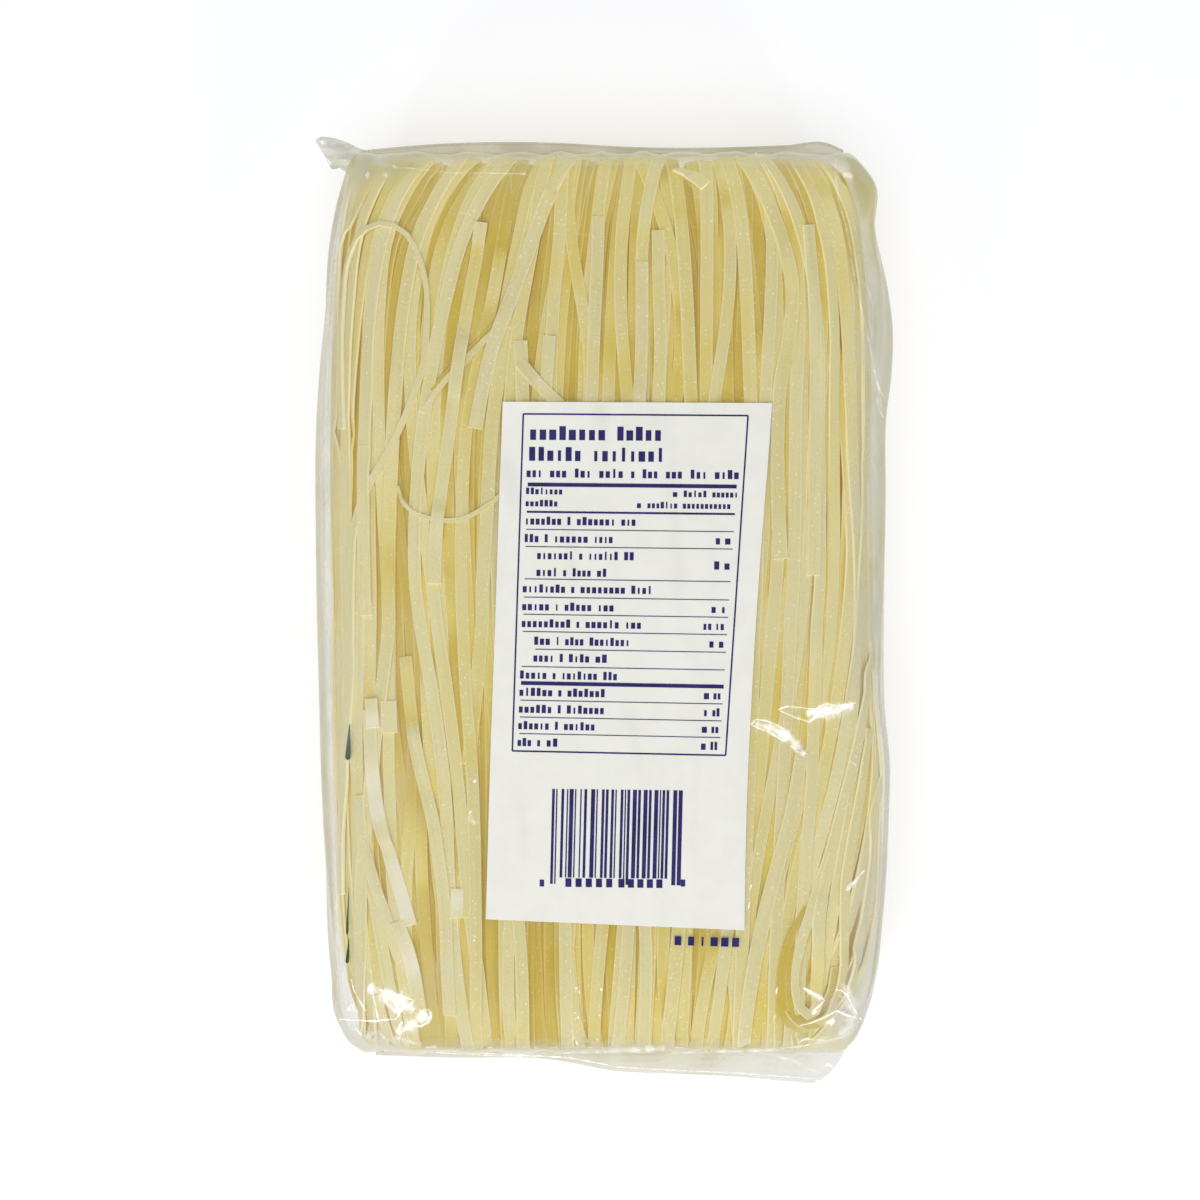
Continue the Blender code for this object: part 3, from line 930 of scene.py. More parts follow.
def arc_table(power_a, power_b, size_a, size_b, count=1600):
    """A quarter of |a|^power_a + |b|^power_b = 1 from a = 0 to b = 0, read by the share of its length when it
    is drawn size_a by size_b. Returns share, a and b."""
    turn = np.linspace(0, math.pi / 2, count)
    a, b = np.sin(turn) ** (2 / power_a), np.cos(turn).clip(0) ** (2 / power_b)
    length = np.concatenate([[0], np.cumsum(np.hypot(np.diff(a) * size_a, np.diff(b) * size_b))])
    return length / length[-1], a, b


ROUND_TABLE = arc_table(ROUND_SECTION, ROUND_SECTION, HALF_BAG[0], HALF_BAG[2])
LONG_TABLE = arc_table(CLOSING, BLUNT_END, HALF_BAG[1], HALF_BAG[2])


def walk(table, share):
    """The two sizes at a signed share of the way from the middle, -1 to 1."""
    at = np.abs(share)
    return np.sign(share) * np.interp(at, table[0], table[1]), np.interp(at, table[0], table[2])


def level_at(y):
    """How high the filled bag is at y, as a share of its full height: it closes bluntly towards both ends."""
    share = np.clip((y - BAG_MIDDLE) / HALF_LENGTH, -1, 1)
    return np.maximum(1 - np.abs(share) ** CLOSING, 0) ** (1 / BLUNT_END)


def section_level(height, over, upper):
    """The film's height above the floor, from how far the bag has closed and the place round the section."""
    half = np.maximum(height * (FILM_TOP + FLAT_BASE) / 2, CLOSED_HALF)
    middle = SEAL_HEIGHT + ((FILM_TOP + FLAT_BASE) / 2 - SEAL_HEIGHT) * height
    return middle + np.where(upper, 1, -1) * half * over - FLAT_BASE * height


def edges_at(y):
    return through(LEFT_EDGE, y), through(RIGHT_EDGE, y)


def round_over(share):
    """How high a cross-section of the bag still is at a share of the way to its side."""
    return (1 - np.abs(share) ** ROUND_SECTION).clip(0) ** (1 / ROUND_SECTION)


def plain_form(x, y):
    """The filled bag without its relief at x, y: the share of the way to its side, how high the section still
    is there, and the height of the upper side above the floor."""
    left, right = edges_at(y)
    share = np.clip((x - (left + right) / 2) / ((right - left) / 2), -1, 1)
    over = round_over(share)
    return share, over, section_level(level_at(y), over, True)


def shaped_share(over, height):
    """How much of its relief the film shows: all on the upper side, none down the sides and the ends."""
    return smooth_step(0.55, 0.9, over) * smooth_step(0.6, 0.93, height)


def strands_top(x, y):
    """The height of the strands' upper side under the film at x, y: the place on the pile is found by
    stepping p until the point above it has this x."""
    left, right = core_edges(y)
    t = y - CUT_END
    want = x
    for _ in range(3):
        p = across_at(want, left, right, 0.995)
        high = bilinear(drape, *cell_of(t, p)) + OVER_STRANDS
        point = core_point(t, p) + outward(t, p) * high[..., None]
        want = want + (x - point[..., 0])
    return point[..., 2]


def ridge(x, y, line, high, wide):
    """A crease: along a line of points, a rise of this height that falls off on both sides as a Gaussian of
    this width, and towards the line's ends."""
    line = np.array(line, float)
    total = np.zeros_like(x)
    lengths = np.hypot(*np.diff(line, axis=0).T)
    run = walked_along(line)
    near = (x > line[:, 0].min() - 4 * wide) & (x < line[:, 0].max() + 4 * wide)
    near &= (y > line[:, 1].min() - 4 * wide) & (y < line[:, 1].max() + 4 * wide)
    if not near.any():
        return total
    px, py = x[near], y[near]
    best = np.full(px.shape, 1e9)
    place = np.zeros(px.shape)
    for (ax, ay), (bx, by), length, start in zip(line, line[1:], lengths, run):
        t = np.clip(((px - ax) * (bx - ax) + (py - ay) * (by - ay)) / length**2, 0, 1)
        far = np.hypot(px - ax - t * (bx - ax), py - ay - t * (by - ay))
        closer = far < best
        best = np.where(closer, far, best)
        place = np.where(closer, start + t * length, place)
    taper = smooth_step(0, 0.3 * run[-1], place) * smooth_step(0, 0.3 * run[-1], run[-1] - place)
    total[near] = high * np.exp(-((best / wide) ** 2)) * (0.25 + 0.75 * taper)
    return total


# Creases of the film on the upper side: points as x, y, height, width
CREASES = (
    (((43, -24.5), (49, -24.4), (55, -23.7), (62, -23.8)), 0.40, 0.6),
    (((43.5, -25), (47.5, -26.8), (50.8, -27.9), (53.5, -25.4), (56, -24)), 0.40, 0.5),
    (((53, -27), (57, -25.2)), 0.3, 0.7),
    (((36.8, -28.4), (41, -28.2), (46, -30.8)), 0.38, 0.5),
    (((37, -29), (41, -30.6), (44.6, -32.4), (46, -31)), 0.34, 0.5),
    (((46, -33), (49.5, -36.4)), 0.25, 0.8),
    (((49.3, -93.2), (55, -96), (51, -99.6)), 0.4, 0.5),
    (((49, -102.5), (54, -101), (58, -98.8), (64, -101.5)), 0.45, 0.5),
    (((56.5, -93.5), (60, -94.6), (64, -101.5)), 0.4, 0.5),
    (((60, -69.6), (65, -65)), 0.35, 0.8),
    (((-61.5, -92), (-58, -99)), 0.4, 0.45),
    (((-65, -101), (-56, -101.3), (-50, -101.2)), 0.4, 0.45),
    (((-54, -93.5), (-49, -95), (-46, -96.4), (-50, -98.4), (-53, -95.6)), 0.45, 0.6),
    (((-56.5, -93), (-55, -98), (-54.5, -102)), 0.35, 0.5),
    (((-50, -104.5), (-46.5, -101.5), (-44.5, -102.6), (-42, -99)), 0.45, 0.5),
    (((-33, -50.4), (-30.6, -51)), 0.35, 0.7),
    (((-30.8, -42), (-30.6, -43.6)), 0.3, 0.6),
    (((-52, 108.6), (-46, 108), (-38, 107), (-30, 106.9), (-18, 106.7)), 0.4, 0.45),
    (((60.5, 88), (63, 76), (65.5, 64), (69.6, 47)), 0.6, 0.6),
    (((58, 112), (58, 104), (60.5, 96), (62.5, 88)), 0.7, 0.8),
    (((36.6, -69), (36, -73)), 0.25, 0.5),
)


def crumple(x, y):
    """The lasting creases of the film, from the list."""
    return sum(ridge(x, y, line, high, wide) for line, high, wide in CREASES)


def gathers(x):
    """The film's gathers across the bag, uneven in pitch."""
    return np.cos(2 * math.pi * x / PLEAT_PITCH + 2.1 * np.sin(x / 17))


def pleats(x, y):
    """Gathers across the upper side near both ends, deepest at the end."""
    from_end = np.minimum(UPPER_END - y, y - LOWER_END)
    waves = gathers(x) + 0.5 * np.cos(x * 1.3 + 1.7 * np.sin(x / 7))
    return 0.55 * waves * np.exp(-np.maximum(from_end, 0) / 5.0)


def film_over(x, y):
    """The height of the film's upper side at x, y: the filled bag's form, lifted smoothly where strands stand
    higher, with its creases."""
    share, _, form = plain_form(x, y)
    lift = strands_top(x, y) - form
    inside = smooth_step(-108.5, -104, y) * smooth_step(108, 98, y) * smooth_step(0.97, 0.86, np.abs(share))
    lift = np.where(inside > 0, lift, 0)
    return form + inside * 0.5 * (lift + np.sqrt(lift**2 + 0.2**2)) + crumple(x, y)


def film_top(x, y):
    """The film's upper side at x, y, its gathers near the ends included."""
    _, over, form = plain_form(x, y)
    return form + shaped_share(over, level_at(y)) * (film_over(x, y) + pleats(x, y) - form)


def film_sheet(round_shares, long_shares, upper):
    """Half of the film, above or below the seals' level, as a grid round the bag and along it. Its section is
    a superellipse, and so is its closing towards the ends. On it come long soft folds down the sides, gathers
    down the ends, and on the upper side the relief of the strands, the pleats and the creases."""
    around, along = np.meshgrid(round_shares, long_shares)
    end, height = walk(LONG_TABLE, along)
    y = BAG_MIDDLE + end * (UPPER_END - LOWER_END) / 2
    left, right = edges_at(y)
    out, over = walk(ROUND_TABLE, around)
    x = (left + right) / 2 + (right - left) / 2 * out
    z = section_level(height, over, upper)
    side = smooth_step(0.9, 1.0, np.abs(out)) * height
    fold = 0.55 * np.sin(z / 2.6 + 1.3 * np.sin(y / 31) + 2 * np.sign(out)) + 0.35 * np.sin(z / 1.3 + y / 14)
    # the right side bulges a little more in the middle
    bulge = (out > 0) * 1.1 * np.exp(-((y + 5) / 28) ** 2)
    x = x + np.sign(out) * side * (fold - 0.15 + bulge)
    at_end = np.clip(1 - height, 0, 1) * height * 2.6
    y = y + np.sign(end) * at_end * 0.5 * (gathers(x) + 0.4 * np.cos(x * 1.1 + np.sin(x / 5)) - 1)
    if upper:
        shaped = shaped_share(over, height)
        form = section_level(level_at(y), round_over(out), True)
        z = z + shaped * (film_over(x, y) - form) + pleats(x, y) * shaped
    else:
        z = np.maximum(z, FILM_FLOOR)
    return np.stack([x, y, z], -1)


def patch(x, y, place, reach):
    """1 at a place, falling off round it as a Gaussian with a reach in x and one in y."""
    return np.exp(-(((x - place[0]) / reach[0]) ** 2) - ((y - place[1]) / reach[1]) ** 2)


def slackness(x, y, z):
    """How milky the film is at x, y, z, and how much of the noodles' warm colour it takes on: more beyond the
    block's sides, at its corners and where it turns down over the ends, clearer again down the end walls."""
    wall = smooth_step(26, 36, z)
    along = np.clip(y, BLOCK_LEFT[0][0], BLOCK_LEFT[-1][0])
    inside = np.minimum(x - through(BLOCK_LEFT, along), through(BLOCK_RIGHT, along) - x)
    beside = 0.22 * smooth_step(2.5, -3.0, inside)
    beside = beside + 0.3 * smooth_step(-0.5, -2.5, inside) * smooth_step(-96, -84, y)
    lifted = y + 5.5 * smooth_step(-38, -54, x) + 1.2 * smooth_step(34, 48, x)
    over_end = smooth_step(105.5, 114, lifted) ** 1.6 * (0.45 + 0.55 * smooth_step(19, 26, z))
    warm_end = smooth_step(97, 108, y) * (1 - 0.35 * smooth_step(34, 50, x) - 0.25 * smooth_step(-46, -56, x))
    corner = smooth_step(0, 7, x - 59.5) * smooth_step(80, 96, y)
    corner = corner + smooth_step(0, 6, -58.5 - x) * smooth_step(88, 104, y)
    foot = smooth_step(-107, -110, y) * wall
    left_corner = smooth_step(-55.5, -61, x) * smooth_step(90, 105, y)
    right = 0.42 * smooth_step(60, 63, x) * smooth_step(-45, 5, y)
    left = 0.22 * smooth_step(-61.5, -66.5, x)
    low = 0.12 * smooth_step(-38, -56, x) * smooth_step(15, -30, y)
    low = low + 0.32 * smooth_step(60, 63.5, x) * smooth_step(-45, -70, y)
    low = low + 0.5 * smooth_step(53, 58, x) * smooth_step(64.5, 60, x) * smooth_step(-84, -97, y)
    low = low + 0.36 * patch(x, y, (-56, -106.5), (8, 3.6))
    # two milky, warm patches on the film; the one at the lower left is painted light that lifts the dark
    # strands under it
    mist_and_painted_lift = 0.28 * patch(x, y, (-38, -99), (8, 11)) + 0.45 * patch(x, y, (50, -105.5), (6.5, 3.2))
    slack = beside + 0.75 * over_end + 0.16 * corner.clip(0, 1) + 0.7 * foot + 0.45 * left_corner
    slack = (slack + right + left + low + mist_and_painted_lift).clip(0, 0.9)
    warm = warm_end + foot + 1.2 * right * (1 - 0.45 * smooth_step(64, 68, x)) + 1.2 * left
    warm = warm + 0.6 * low + 3.0 * mist_and_painted_lift
    return slack, (warm + 0.6 * beside + 0.4 * corner).clip(0, 1)


def film_half(name, upper, columns, rows, material):
    """Half of the film as a piece, its points closer together towards the lower end."""
    along = np.linspace(0, 1, rows)
    points = film_sheet(np.linspace(-1, 1, columns), 2 * (0.75 * along + 0.25 * along**2) - 1, upper)
    slack, warm = slackness(*np.moveaxis(points, -1, 0))
    if not upper:
        slack = slack * 0.6
    return put_mesh(name, points, [grid_faces(rows, columns, flip=not upper)], material,
                    marks={"slack": slack.ravel(), "warm": warm.ravel()})


def sheet_pair(name, points, thickness, material, milky):
    """A closed thin sheet from a grid of points: the grid, and the same grid lowered, joined round the rim.
    milky is how milky and warm it looks at each point."""
    rows, columns = points.shape[:2]
    lower = points - np.array([0, 0, thickness])
    both = np.concatenate([points.reshape(-1, 3), lower.reshape(-1, 3)])
    top = grid_faces(rows, columns)
    count = rows * columns
    index = np.arange(count).reshape(rows, columns)
    rim = np.concatenate([index[0, :], index[1:, -1], index[-1, -2::-1], index[-2:0:-1, 0]])
    after = np.roll(rim, -1)
    wall = np.stack([after, rim, rim + count, after + count], -1)
    slack, warm = (np.tile(values, 2) for values in over_points((rows, columns), *milky))
    return put_mesh(name, both, [top, top[:, ::-1] + count, wall], material,
                    marks={"slack": slack, "warm": warm})


def fin_milk(points):
    """How milky and warm the lower seal is: most at its root, less to its rim and to the right."""
    row = np.arange(len(points))[:, None]
    right = smooth_step(26, 46, points[..., 0])
    return 0.62 / (1 + 0.16 * row) * (1 - 0.55 * right), 1.0 / (1 + 0.1 * row) * (1 - 0.75 * right)


SEAL_SHEET = 0.2  # thickness of a seal's sheet
FIN_ROOT = LOWER_END + 1.0
# The folded seal's rows: from its root to here level, to here round the bend, and then hanging down
BEND_FROM, HANG_FROM = 0.25, 0.55
BEND_REACH, BEND_DROP = 1.4, 1.6
HANG = 7.6


def fin_level(x, y):
    """The height of the lower seal at x, y: level at its root, wavy towards its rim."""
    out = np.clip((y - FIN_ROOT) / (through(LOWER_RIM, x) - FIN_ROOT), 0, 1)
    wave = 0.8 * np.sin(x / 9) * np.cos(x / 23) + 0.25 * np.sin(x / 2.9 + 1) * np.sin(x / 13)
    return SEAL_HEIGHT - FLAT_BASE / 2 + wave * out**1.5 + 0.12 * np.sin(out * 22) * np.sin(x / 6)


def lower_fin():
    """The seal standing out of the lower end: from the closed end of the bag out to its rim."""
    x, out = np.meshgrid(np.linspace(LOWER_RIM[0][0], LOWER_RIM[-1][0], 260), np.linspace(0, 1, 16))
    y = FIN_ROOT + (through(LOWER_RIM, x) - 0.5 - FIN_ROOT) * out
    return np.stack([x, y, fin_level(x, y)], -1)


def upper_fin():
    """The folded seal: level out of the upper end, over its bend, and down against the end."""
    x = np.linspace(UPPER_RIM[0][0], UPPER_RIM[-1][0], 240)[None, :]
    out = np.linspace(0, 1, 30)[:, None]
    rim = through(UPPER_RIM, x) + 0.3
    turn = np.clip((out - BEND_FROM) / (HANG_FROM - BEND_FROM), 0, 1) * math.pi / 2
    level = np.minimum(out / BEND_FROM, 1)
    hang = np.maximum(out - HANG_FROM, 0) / (1 - HANG_FROM)
    y = UPPER_END - 1 + (rim - BEND_REACH - UPPER_END + 1) * level + BEND_REACH * np.sin(turn) - 0.3 * hang
    ragged = 0.5 * np.sin(x / 11) + 0.2 * np.sin(x / 3.1)
    bent = SEAL_HEIGHT + 0.3 - BEND_DROP * (1 - np.cos(turn))
    z = bent - hang * (HANG + ragged) + 0.15 * np.sin(x / 4 + 9 * out)
    return np.stack([x + 0 * out, y, z], -1)


EAR_ROOT = (-61.0, 111.3)
EAR_TURN = math.radians(162)
# The ear's outline: distance along it, its two edges across and its half-thickness
EAR_RIBS = ((-4, -3.2, 4.6, 2.2), (0, -2.8, 3.9, 2.0), (2, -3.2, 3.6, 1.6), (3.2, -3.3, 3.2, 1.4),
            (4.1, -3.35, 4.0, 1.3), (5, -3.4, 4.15, 1.2), (6.3, -3.4, 2.8, 1.1), (8, -3.2, 1.2, 0.9),
            (9.8, -2.7, -0.3, 0.7), (10.7, -1.7, -1.1, 0.4))
EAR_AWAY = (math.cos(EAR_TURN), math.sin(EAR_TURN))


def ear_form(along, around):
    """Place across the ear and height at a distance along it and a turn around it: flat, with soft folds."""
    near, far, thick = (np.interp(along, *np.array(EAR_RIBS).T[[0, k]]) for k in (1, 2, 3))
    spread = (near + far) / 2 + (far - near) / 2 * np.cos(around)
    folds = 0.8 * np.sin(spread * 1.15 + 0.35 * along) + 0.4 * np.sin(spread * 2.3 - 0.7 * along + 1)
    return spread, SEAL_HEIGHT + folds * smooth_step(-3, 3, along) + thick * np.sin(around) * 0.8


def ear(name, material):
    """The tuft at the upper left corner, as flat rings along it."""
    along = np.linspace(EAR_RIBS[0][0], EAR_RIBS[-1][0], 50)[:, None]
    turn = np.linspace(0, 2 * math.pi, 72, endpoint=False)[None, :]
    spread, z = ear_form(along, turn)
    x = EAR_ROOT[0] + EAR_AWAY[0] * along - EAR_AWAY[1] * spread
    y = EAR_ROOT[1] + EAR_AWAY[1] * along + EAR_AWAY[0] * spread
    rows, columns = z.shape
    caps = [np.arange(columns)[None], (np.arange(columns) + (rows - 1) * columns)[None, ::-1]]
    faces = [grid_faces(rows, columns, closed=True, flip=True), *caps]
    return put_mesh(name, np.stack([x, y, z], -1), faces, material,
                    marks={"slack": np.full(z.size, 0.42), "warm": np.full(z.size, 0.35)})


def ear_level(x, y):
    """The height of the ear's upper side at x, y."""
    along = (x - EAR_ROOT[0]) * EAR_AWAY[0] + (y - EAR_ROOT[1]) * EAR_AWAY[1]
    spread = (y - EAR_ROOT[1]) * EAR_AWAY[0] - (x - EAR_ROOT[0]) * EAR_AWAY[1]
    near, far = (np.interp(along, *np.array(EAR_RIBS).T[[0, k]]) for k in (1, 2))
    share = np.clip((spread - (near + far) / 2) / ((far - near) / 2), -1, 1)
    return ear_form(along, np.arccos(share))[1]


def strand_tops(runs):
    """The height of the pressed strands' upper faces over the surface that they lie on, cell by cell, each
    strand read closely between its stations."""
    tops = np.zeros_like(pile)
    for t, p, height, lean, width, thick, _ in runs:
        at = np.arange(0, len(t) - 1, 0.12)
        t, p, height, lean, width = (np.interp(at, np.arange(len(t)), v + np.zeros(len(t)))
                                     for v in (t, p, height, lean, width))
        offsets = np.linspace(-0.5, 0.5, 9) * width[:, None]
        rows, columns = cells_beside(t, p, offsets)
        pressed = SHELL + (height[:, None] - bilinear(broad, rows, columns)) * squeeze(p)[:, None] + thick
        np.maximum.at(tops, whole_cells(rows, columns), pressed + lean[:, None] * offsets)
    return tops


drape = soften(soften(highest(highest(strand_tops(runs + loose), 2, 1), 5, 0), 1.6, 1), 3, 0)
FILM = film_finish("film", 0.02, (0.64, 0.64, 0.615), (0.605, 0.55, 0.25))
SEAL = film_finish("film_seal", 0.16, (0.70, 0.70, 0.68), (0.565, 0.525, 0.325))
fin = lower_fin()
film_pieces = [film_half("film_back", True, 290, 320, FILM), film_half("film_front", False, 150, 170, FILM),
               sheet_pair("film_lower_seal", fin, SEAL_SHEET, SEAL, fin_milk(fin)),
               sheet_pair("film_upper_seal", upper_fin(), SEAL_SHEET, SEAL, (0.3, 0.9)),
               ear("film_ear", SEAL)]

# Sharp creases, whitened, with painted glints on them: points as x, y, the widths along it and how white it
# is
CREASE_GLINTS = (
    # right of the label
    (((43.2, -24.9), (45.4, -24.1), (49, -24.4), (52.4, -24.9), (55, -23.4), (58, -24), (62.6, -23.3)),
     (0.2, 0.6, 0.35, 0.3, 0.7, 0.5, 0.3), 0.9),
    (((43.4, -25), (47.5, -26.8), (51, -27.9), (52.4, -26.6), (55.4, -24.2)), (0.2, 0.4, 0.7, 0.8, 0.3), 0.9),
    (((51.8, -27.2), (55, -25.9), (58.5, -25.2), (61, -24)), (0.5, 1.5, 1.1, 0.3), 0.8),
    (((36.6, -28.6), (37.8, -27.3), (40.4, -27.6), (43.4, -28.9), (46, -30.6), (46, -31.6), (44.6, -32.6),
      (43.6, -31.9), (41, -30.4), (38.2, -29.3), (36.6, -28.6)),
     (0.5, 0.6, 0.5, 0.4, 0.8, 0.7, 0.7, 0.4, 0.5, 0.45, 0.4), 0.95),
    (((43.8, -31.6), (45, -31.2), (45.9, -31.8)), (0.3, 0.9, 0.3), 0.8),
    (((46, -33.6), (48.4, -35.2), (49.8, -36.6)), (0.3, 1.3, 0.6), 0.6),
    (((46.2, -16.8), (47.2, -17.2)), (0.3, 0.3), 0.7),
    (((56, -2.4), (56.5, -1.6)), (0.4, 0.4), 0.7),
    (((60, -37.4), (61.4, -37.8), (62.6, -38.8)), (0.3, 0.5, 0.3), 0.5),
    (((60.1, -69.4), (62.4, -66.9), (64.8, -64.2)), (1.3, 0.9, 0.2), 0.85),
    (((36.3, -69.4), (36.8, -67.6)), (0.3, 0.3), 0.8),
    (((35.9, -74), (36.3, -71.8)), (0.3, 0.3), 0.8),
    (((37.8, -60.2), (39, -60.2)), (0.5, 0.4), 0.6),
    (((42.8, -95), (43.1, -93)), (0.4, 0.4), 0.8),
    (((42.2, -101.4), (42.6, -99.8)), (0.35, 0.35), 0.6),
    # lower right corner
    (((49.4, -93.2), (51.4, -94.2), (53.4, -95.2), (54.8, -96.3), (53.2, -98), (51.4, -99.2)),
     (0.3, 0.9, 0.5, 0.4, 0.5, 0.3), 0.95),
    (((57.2, -93.6), (59.2, -94.1), (60.4, -95.2), (61.6, -97.6), (62.8, -99.8), (64.2, -101.6)),
     (0.2, 0.4, 0.5, 0.5, 0.6, 0.3), 0.95),
    (((48.6, -102.6), (51.4, -102), (54, -100.8), (56.2, -99.8), (57.8, -99), (60.4, -100.2), (64.2, -101.4)),
     (0.2, 0.35, 0.4, 0.5, 0.7, 0.5, 0.3), 0.95),
    (((48.2, -106.9), (50.4, -105.9), (52.4, -106.3), (55, -106.3)), (0.2, 0.7, 0.4, 0.2), 0.7),
    (((57, -102.2), (56.6, -100.4)), (0.5, 0.3), 0.6),
    # lower left corner
    (((-61.6, -91), (-61, -93.8), (-59.6, -96.4), (-57.9, -99.2)), (0.3, 0.35, 0.4, 0.3), 0.95),
    (((-65.3, -101.4), (-60, -101.4), (-55.4, -101.6), (-53.4, -101.1), (-50.6, -101), (-49.4, -99.6)),
     (0.3, 0.35, 0.5, 0.5, 0.4, 0.4), 0.95),
    (((-57, -88.8), (-56.4, -89.4)), (0.5, 0.4), 0.6),
    (((-56.8, -92.2), (-56.6, -94), (-56, -95.8), (-55.5, -98), (-55, -101.3)),
     (0.6, 1.1, 0.4, 0.5, 0.5), 0.85),
    (((-54.7, -93.6), (-52.8, -94.4), (-50, -95), (-47.8, -95.7), (-46, -96.3)),
     (0.5, 1.7, 0.7, 0.4, 0.5), 0.95),
    (((-46, -96.4), (-47.4, -97.7), (-49.4, -98.6), (-50.3, -100.2)), (0.3, 0.9, 1.5, 0.5), 0.9),
    (((-53.4, -96.4), (-52, -97.9), (-50.4, -99.4)), (0.4, 0.8, 0.9), 0.7),
    (((-50, -104.7), (-48.4, -103.7), (-47.6, -103.2), (-46.6, -101.2), (-46, -102.2), (-44.6, -102.8),
      (-42.6, -101.7), (-41.8, -99.9), (-42.4, -98.6), (-43.8, -98.7), (-44.9, -100)),
     (0.3, 0.6, 0.7, 0.3, 0.3, 0.5, 0.9, 0.6, 1.1, 0.7, 0.3), 0.85),
    (((-62.6, -99.2), (-61.2, -97.4), (-61, -99.6)), (1.2, 0.8, 0.5), 0.5),
    (((-60.6, -103.4), (-58.8, -105.6)), (1.0, 0.5), 0.45),
    (((-58, -105.6), (-55, -104), (-53, -106.4)), (1.3, 0.8, 0.5), 0.45),
    (((-51, -105.4), (-48, -106.4), (-45, -107.4)), (1.1, 1.4, 0.4), 0.45),
    # left, beside and under the label
    (((-32.6, -50.6), (-31.9, -49.6)), (0.7, 0.5), 0.8),
    (((-31.4, -42.8), (-30.8, -42)), (0.7, 0.5), 0.8),
    (((-33.8, -38.3), (-33.2, -37.8)), (0.4, 0.4), 0.6),
    (((-31.6, -81.8), (-31, -81.2)), (0.4, 0.4), 0.6),
    # the upper end
    (((-51.6, 108.9), (-50.4, 108.3), (-47, 108.2), (-42, 107.6), (-37, 106.9), (-30, 106.9), (-22, 106.7),
      (-18.4, 106.7)), (0.9, 0.4, 0.2, 0.25, 0.25, 0.2, 0.35, 0.6), 0.6),
    (((-22.4, 107.4), (-22, 101.6)), (0.2, 0.15), 0.4),
    (((57.6, 111), (57.5, 106), (58.3, 100), (60, 94), (61.4, 87)), (0.9, 0.7, 0.5, 0.4, 0.3), 0.4),
    (((61.2, 86), (62.8, 78), (65, 68.6), (67, 59), (68.6, 51.6), (69.3, 47)),
     (0.3, 0.3, 0.3, 0.35, 0.35, 0.3), 0.5),
    (((63.6, 81), (65.6, 78.6), (66.7, 74), (66.4, 66)), (0.2, 0.3, 0.3, 0.2), 0.4),
    (((67.6, 56.4), (68.6, 53.4), (69.8, 51.6)), (0.3, 0.7, 0.3), 0.6),
    (((67.8, 52), (68.4, 48.8), (69.6, 46.6)), (0.2, 0.5, 0.3), 0.6),
    (((66.4, 36.6), (67.6, 33.4), (68, 30)), (0.2, 0.6, 0.2), 0.35),
    # soft white patches round the sharp ones, a painted glow of the glints, and the film's edge folded over
    # the lower end
    (((50, -26), (56, -24.8), (62, -23.6)), (1.8, 2.6, 1.3), 0.9),
    (((54, -26.6), (58.5, -25.6), (62, -24.4)), (2.0, 3.4, 1.4), 0.55),
    (((37.6, -28.4), (42, -29.6), (46.4, -32), (50, -36)), (1.5, 2.6, 2.6, 1.6), 0.85),
    (((59, -92), (62, -97), (61.6, -102.5), (58, -106)), (2.0, 3.6, 3.8, 2.4), 0.42),
    (((-57.5, -93), (-53, -95.4), (-48.6, -97), (-46, -99)), (2.2, 4.2, 4.6, 1.8), 0.75),
    (((-50.6, -104.4), (-46.6, -102.4), (-42.6, -99.4)), (1.6, 3.4, 2.6), 0.75),
    (((50.4, -93.9), (52.6, -95.2), (54.2, -96.2)), (1.0, 1.8, 0.6), 0.6),
    (((58.4, -95), (61, -98.2), (63, -100.8)), (0.9, 1.6, 0.6), 0.4),
    (((44, -108.5), (50, -107.7), (57, -106.2), (61, -105.4)), (0.3, 0.5, 0.4, 0.2), 0.5),
    (((60.2, -69), (63.2, -66.6)), (1.6, 1.2), 0.35),
    (((-33, -51), (-30.8, -53)), (1.6, 1.2), 0.35),
    (((-10, -109.8), (0, -109.4), (8, -108.9), (15.6, -108.4)), (0.6, 1.3, 2.0, 2.2), 0.5),
    (((15.4, -107.6), (15, -109.6)), (0.3, 0.3), 0.5),
    (((17, -109.8), (30, -109.3), (44, -108.8)), (0.8, 1.4, 0.8), 0.45),
    # small painted glints in rows near the lower end
    (((-6.6, -93.1), (-5.8, -93.3)), (0.35, 0.5), 0.75),
    (((-5.6, -93.7), (-5.3, -94.6)), (0.25, 0.55), 0.75),
    (((-0.3, -93.2), (0.1, -93.9)), (0.5, 0.4), 0.9),
    (((-6.9, -99.6), (-6.3, -99.1)), (0.3, 0.3), 0.7),
    (((-6, -100), (-5.6, -100.9)), (0.3, 0.5), 0.75),
    (((-4.4, -101), (-4.1, -101.6)), (0.3, 0.4), 0.6),
    (((-0.8, -99.7), (-0.4, -100.1)), (0.4, 0.35), 0.9),
    (((-7.2, -105.6), (-6.8, -105.9)), (0.3, 0.4), 0.7),
    (((-6.3, -106.3), (-6, -107.4)), (0.3, 0.55), 0.7),
    (((-4.5, -107.4), (-4.2, -108)), (0.3, 0.4), 0.5),
    (((-1.3, -105.9), (-0.8, -106.3)), (0.4, 0.4), 0.8),
    # soft lines down the left side
    (((-67.4, 66), (-67.8, 40), (-67.6, 10), (-67, -20), (-66.4, -50)), (0.2, 0.5, 0.4, 0.5, 0.2), 0.3),
    (((-66.6, -30), (-66, -56), (-64.8, -80), (-63.2, -96)), (0.2, 0.5, 0.4, 0.2), 0.35),
    (((-65.6, -60), (-65.2, -80), (-65, -98)), (0.2, 0.35, 0.2), 0.35),
)
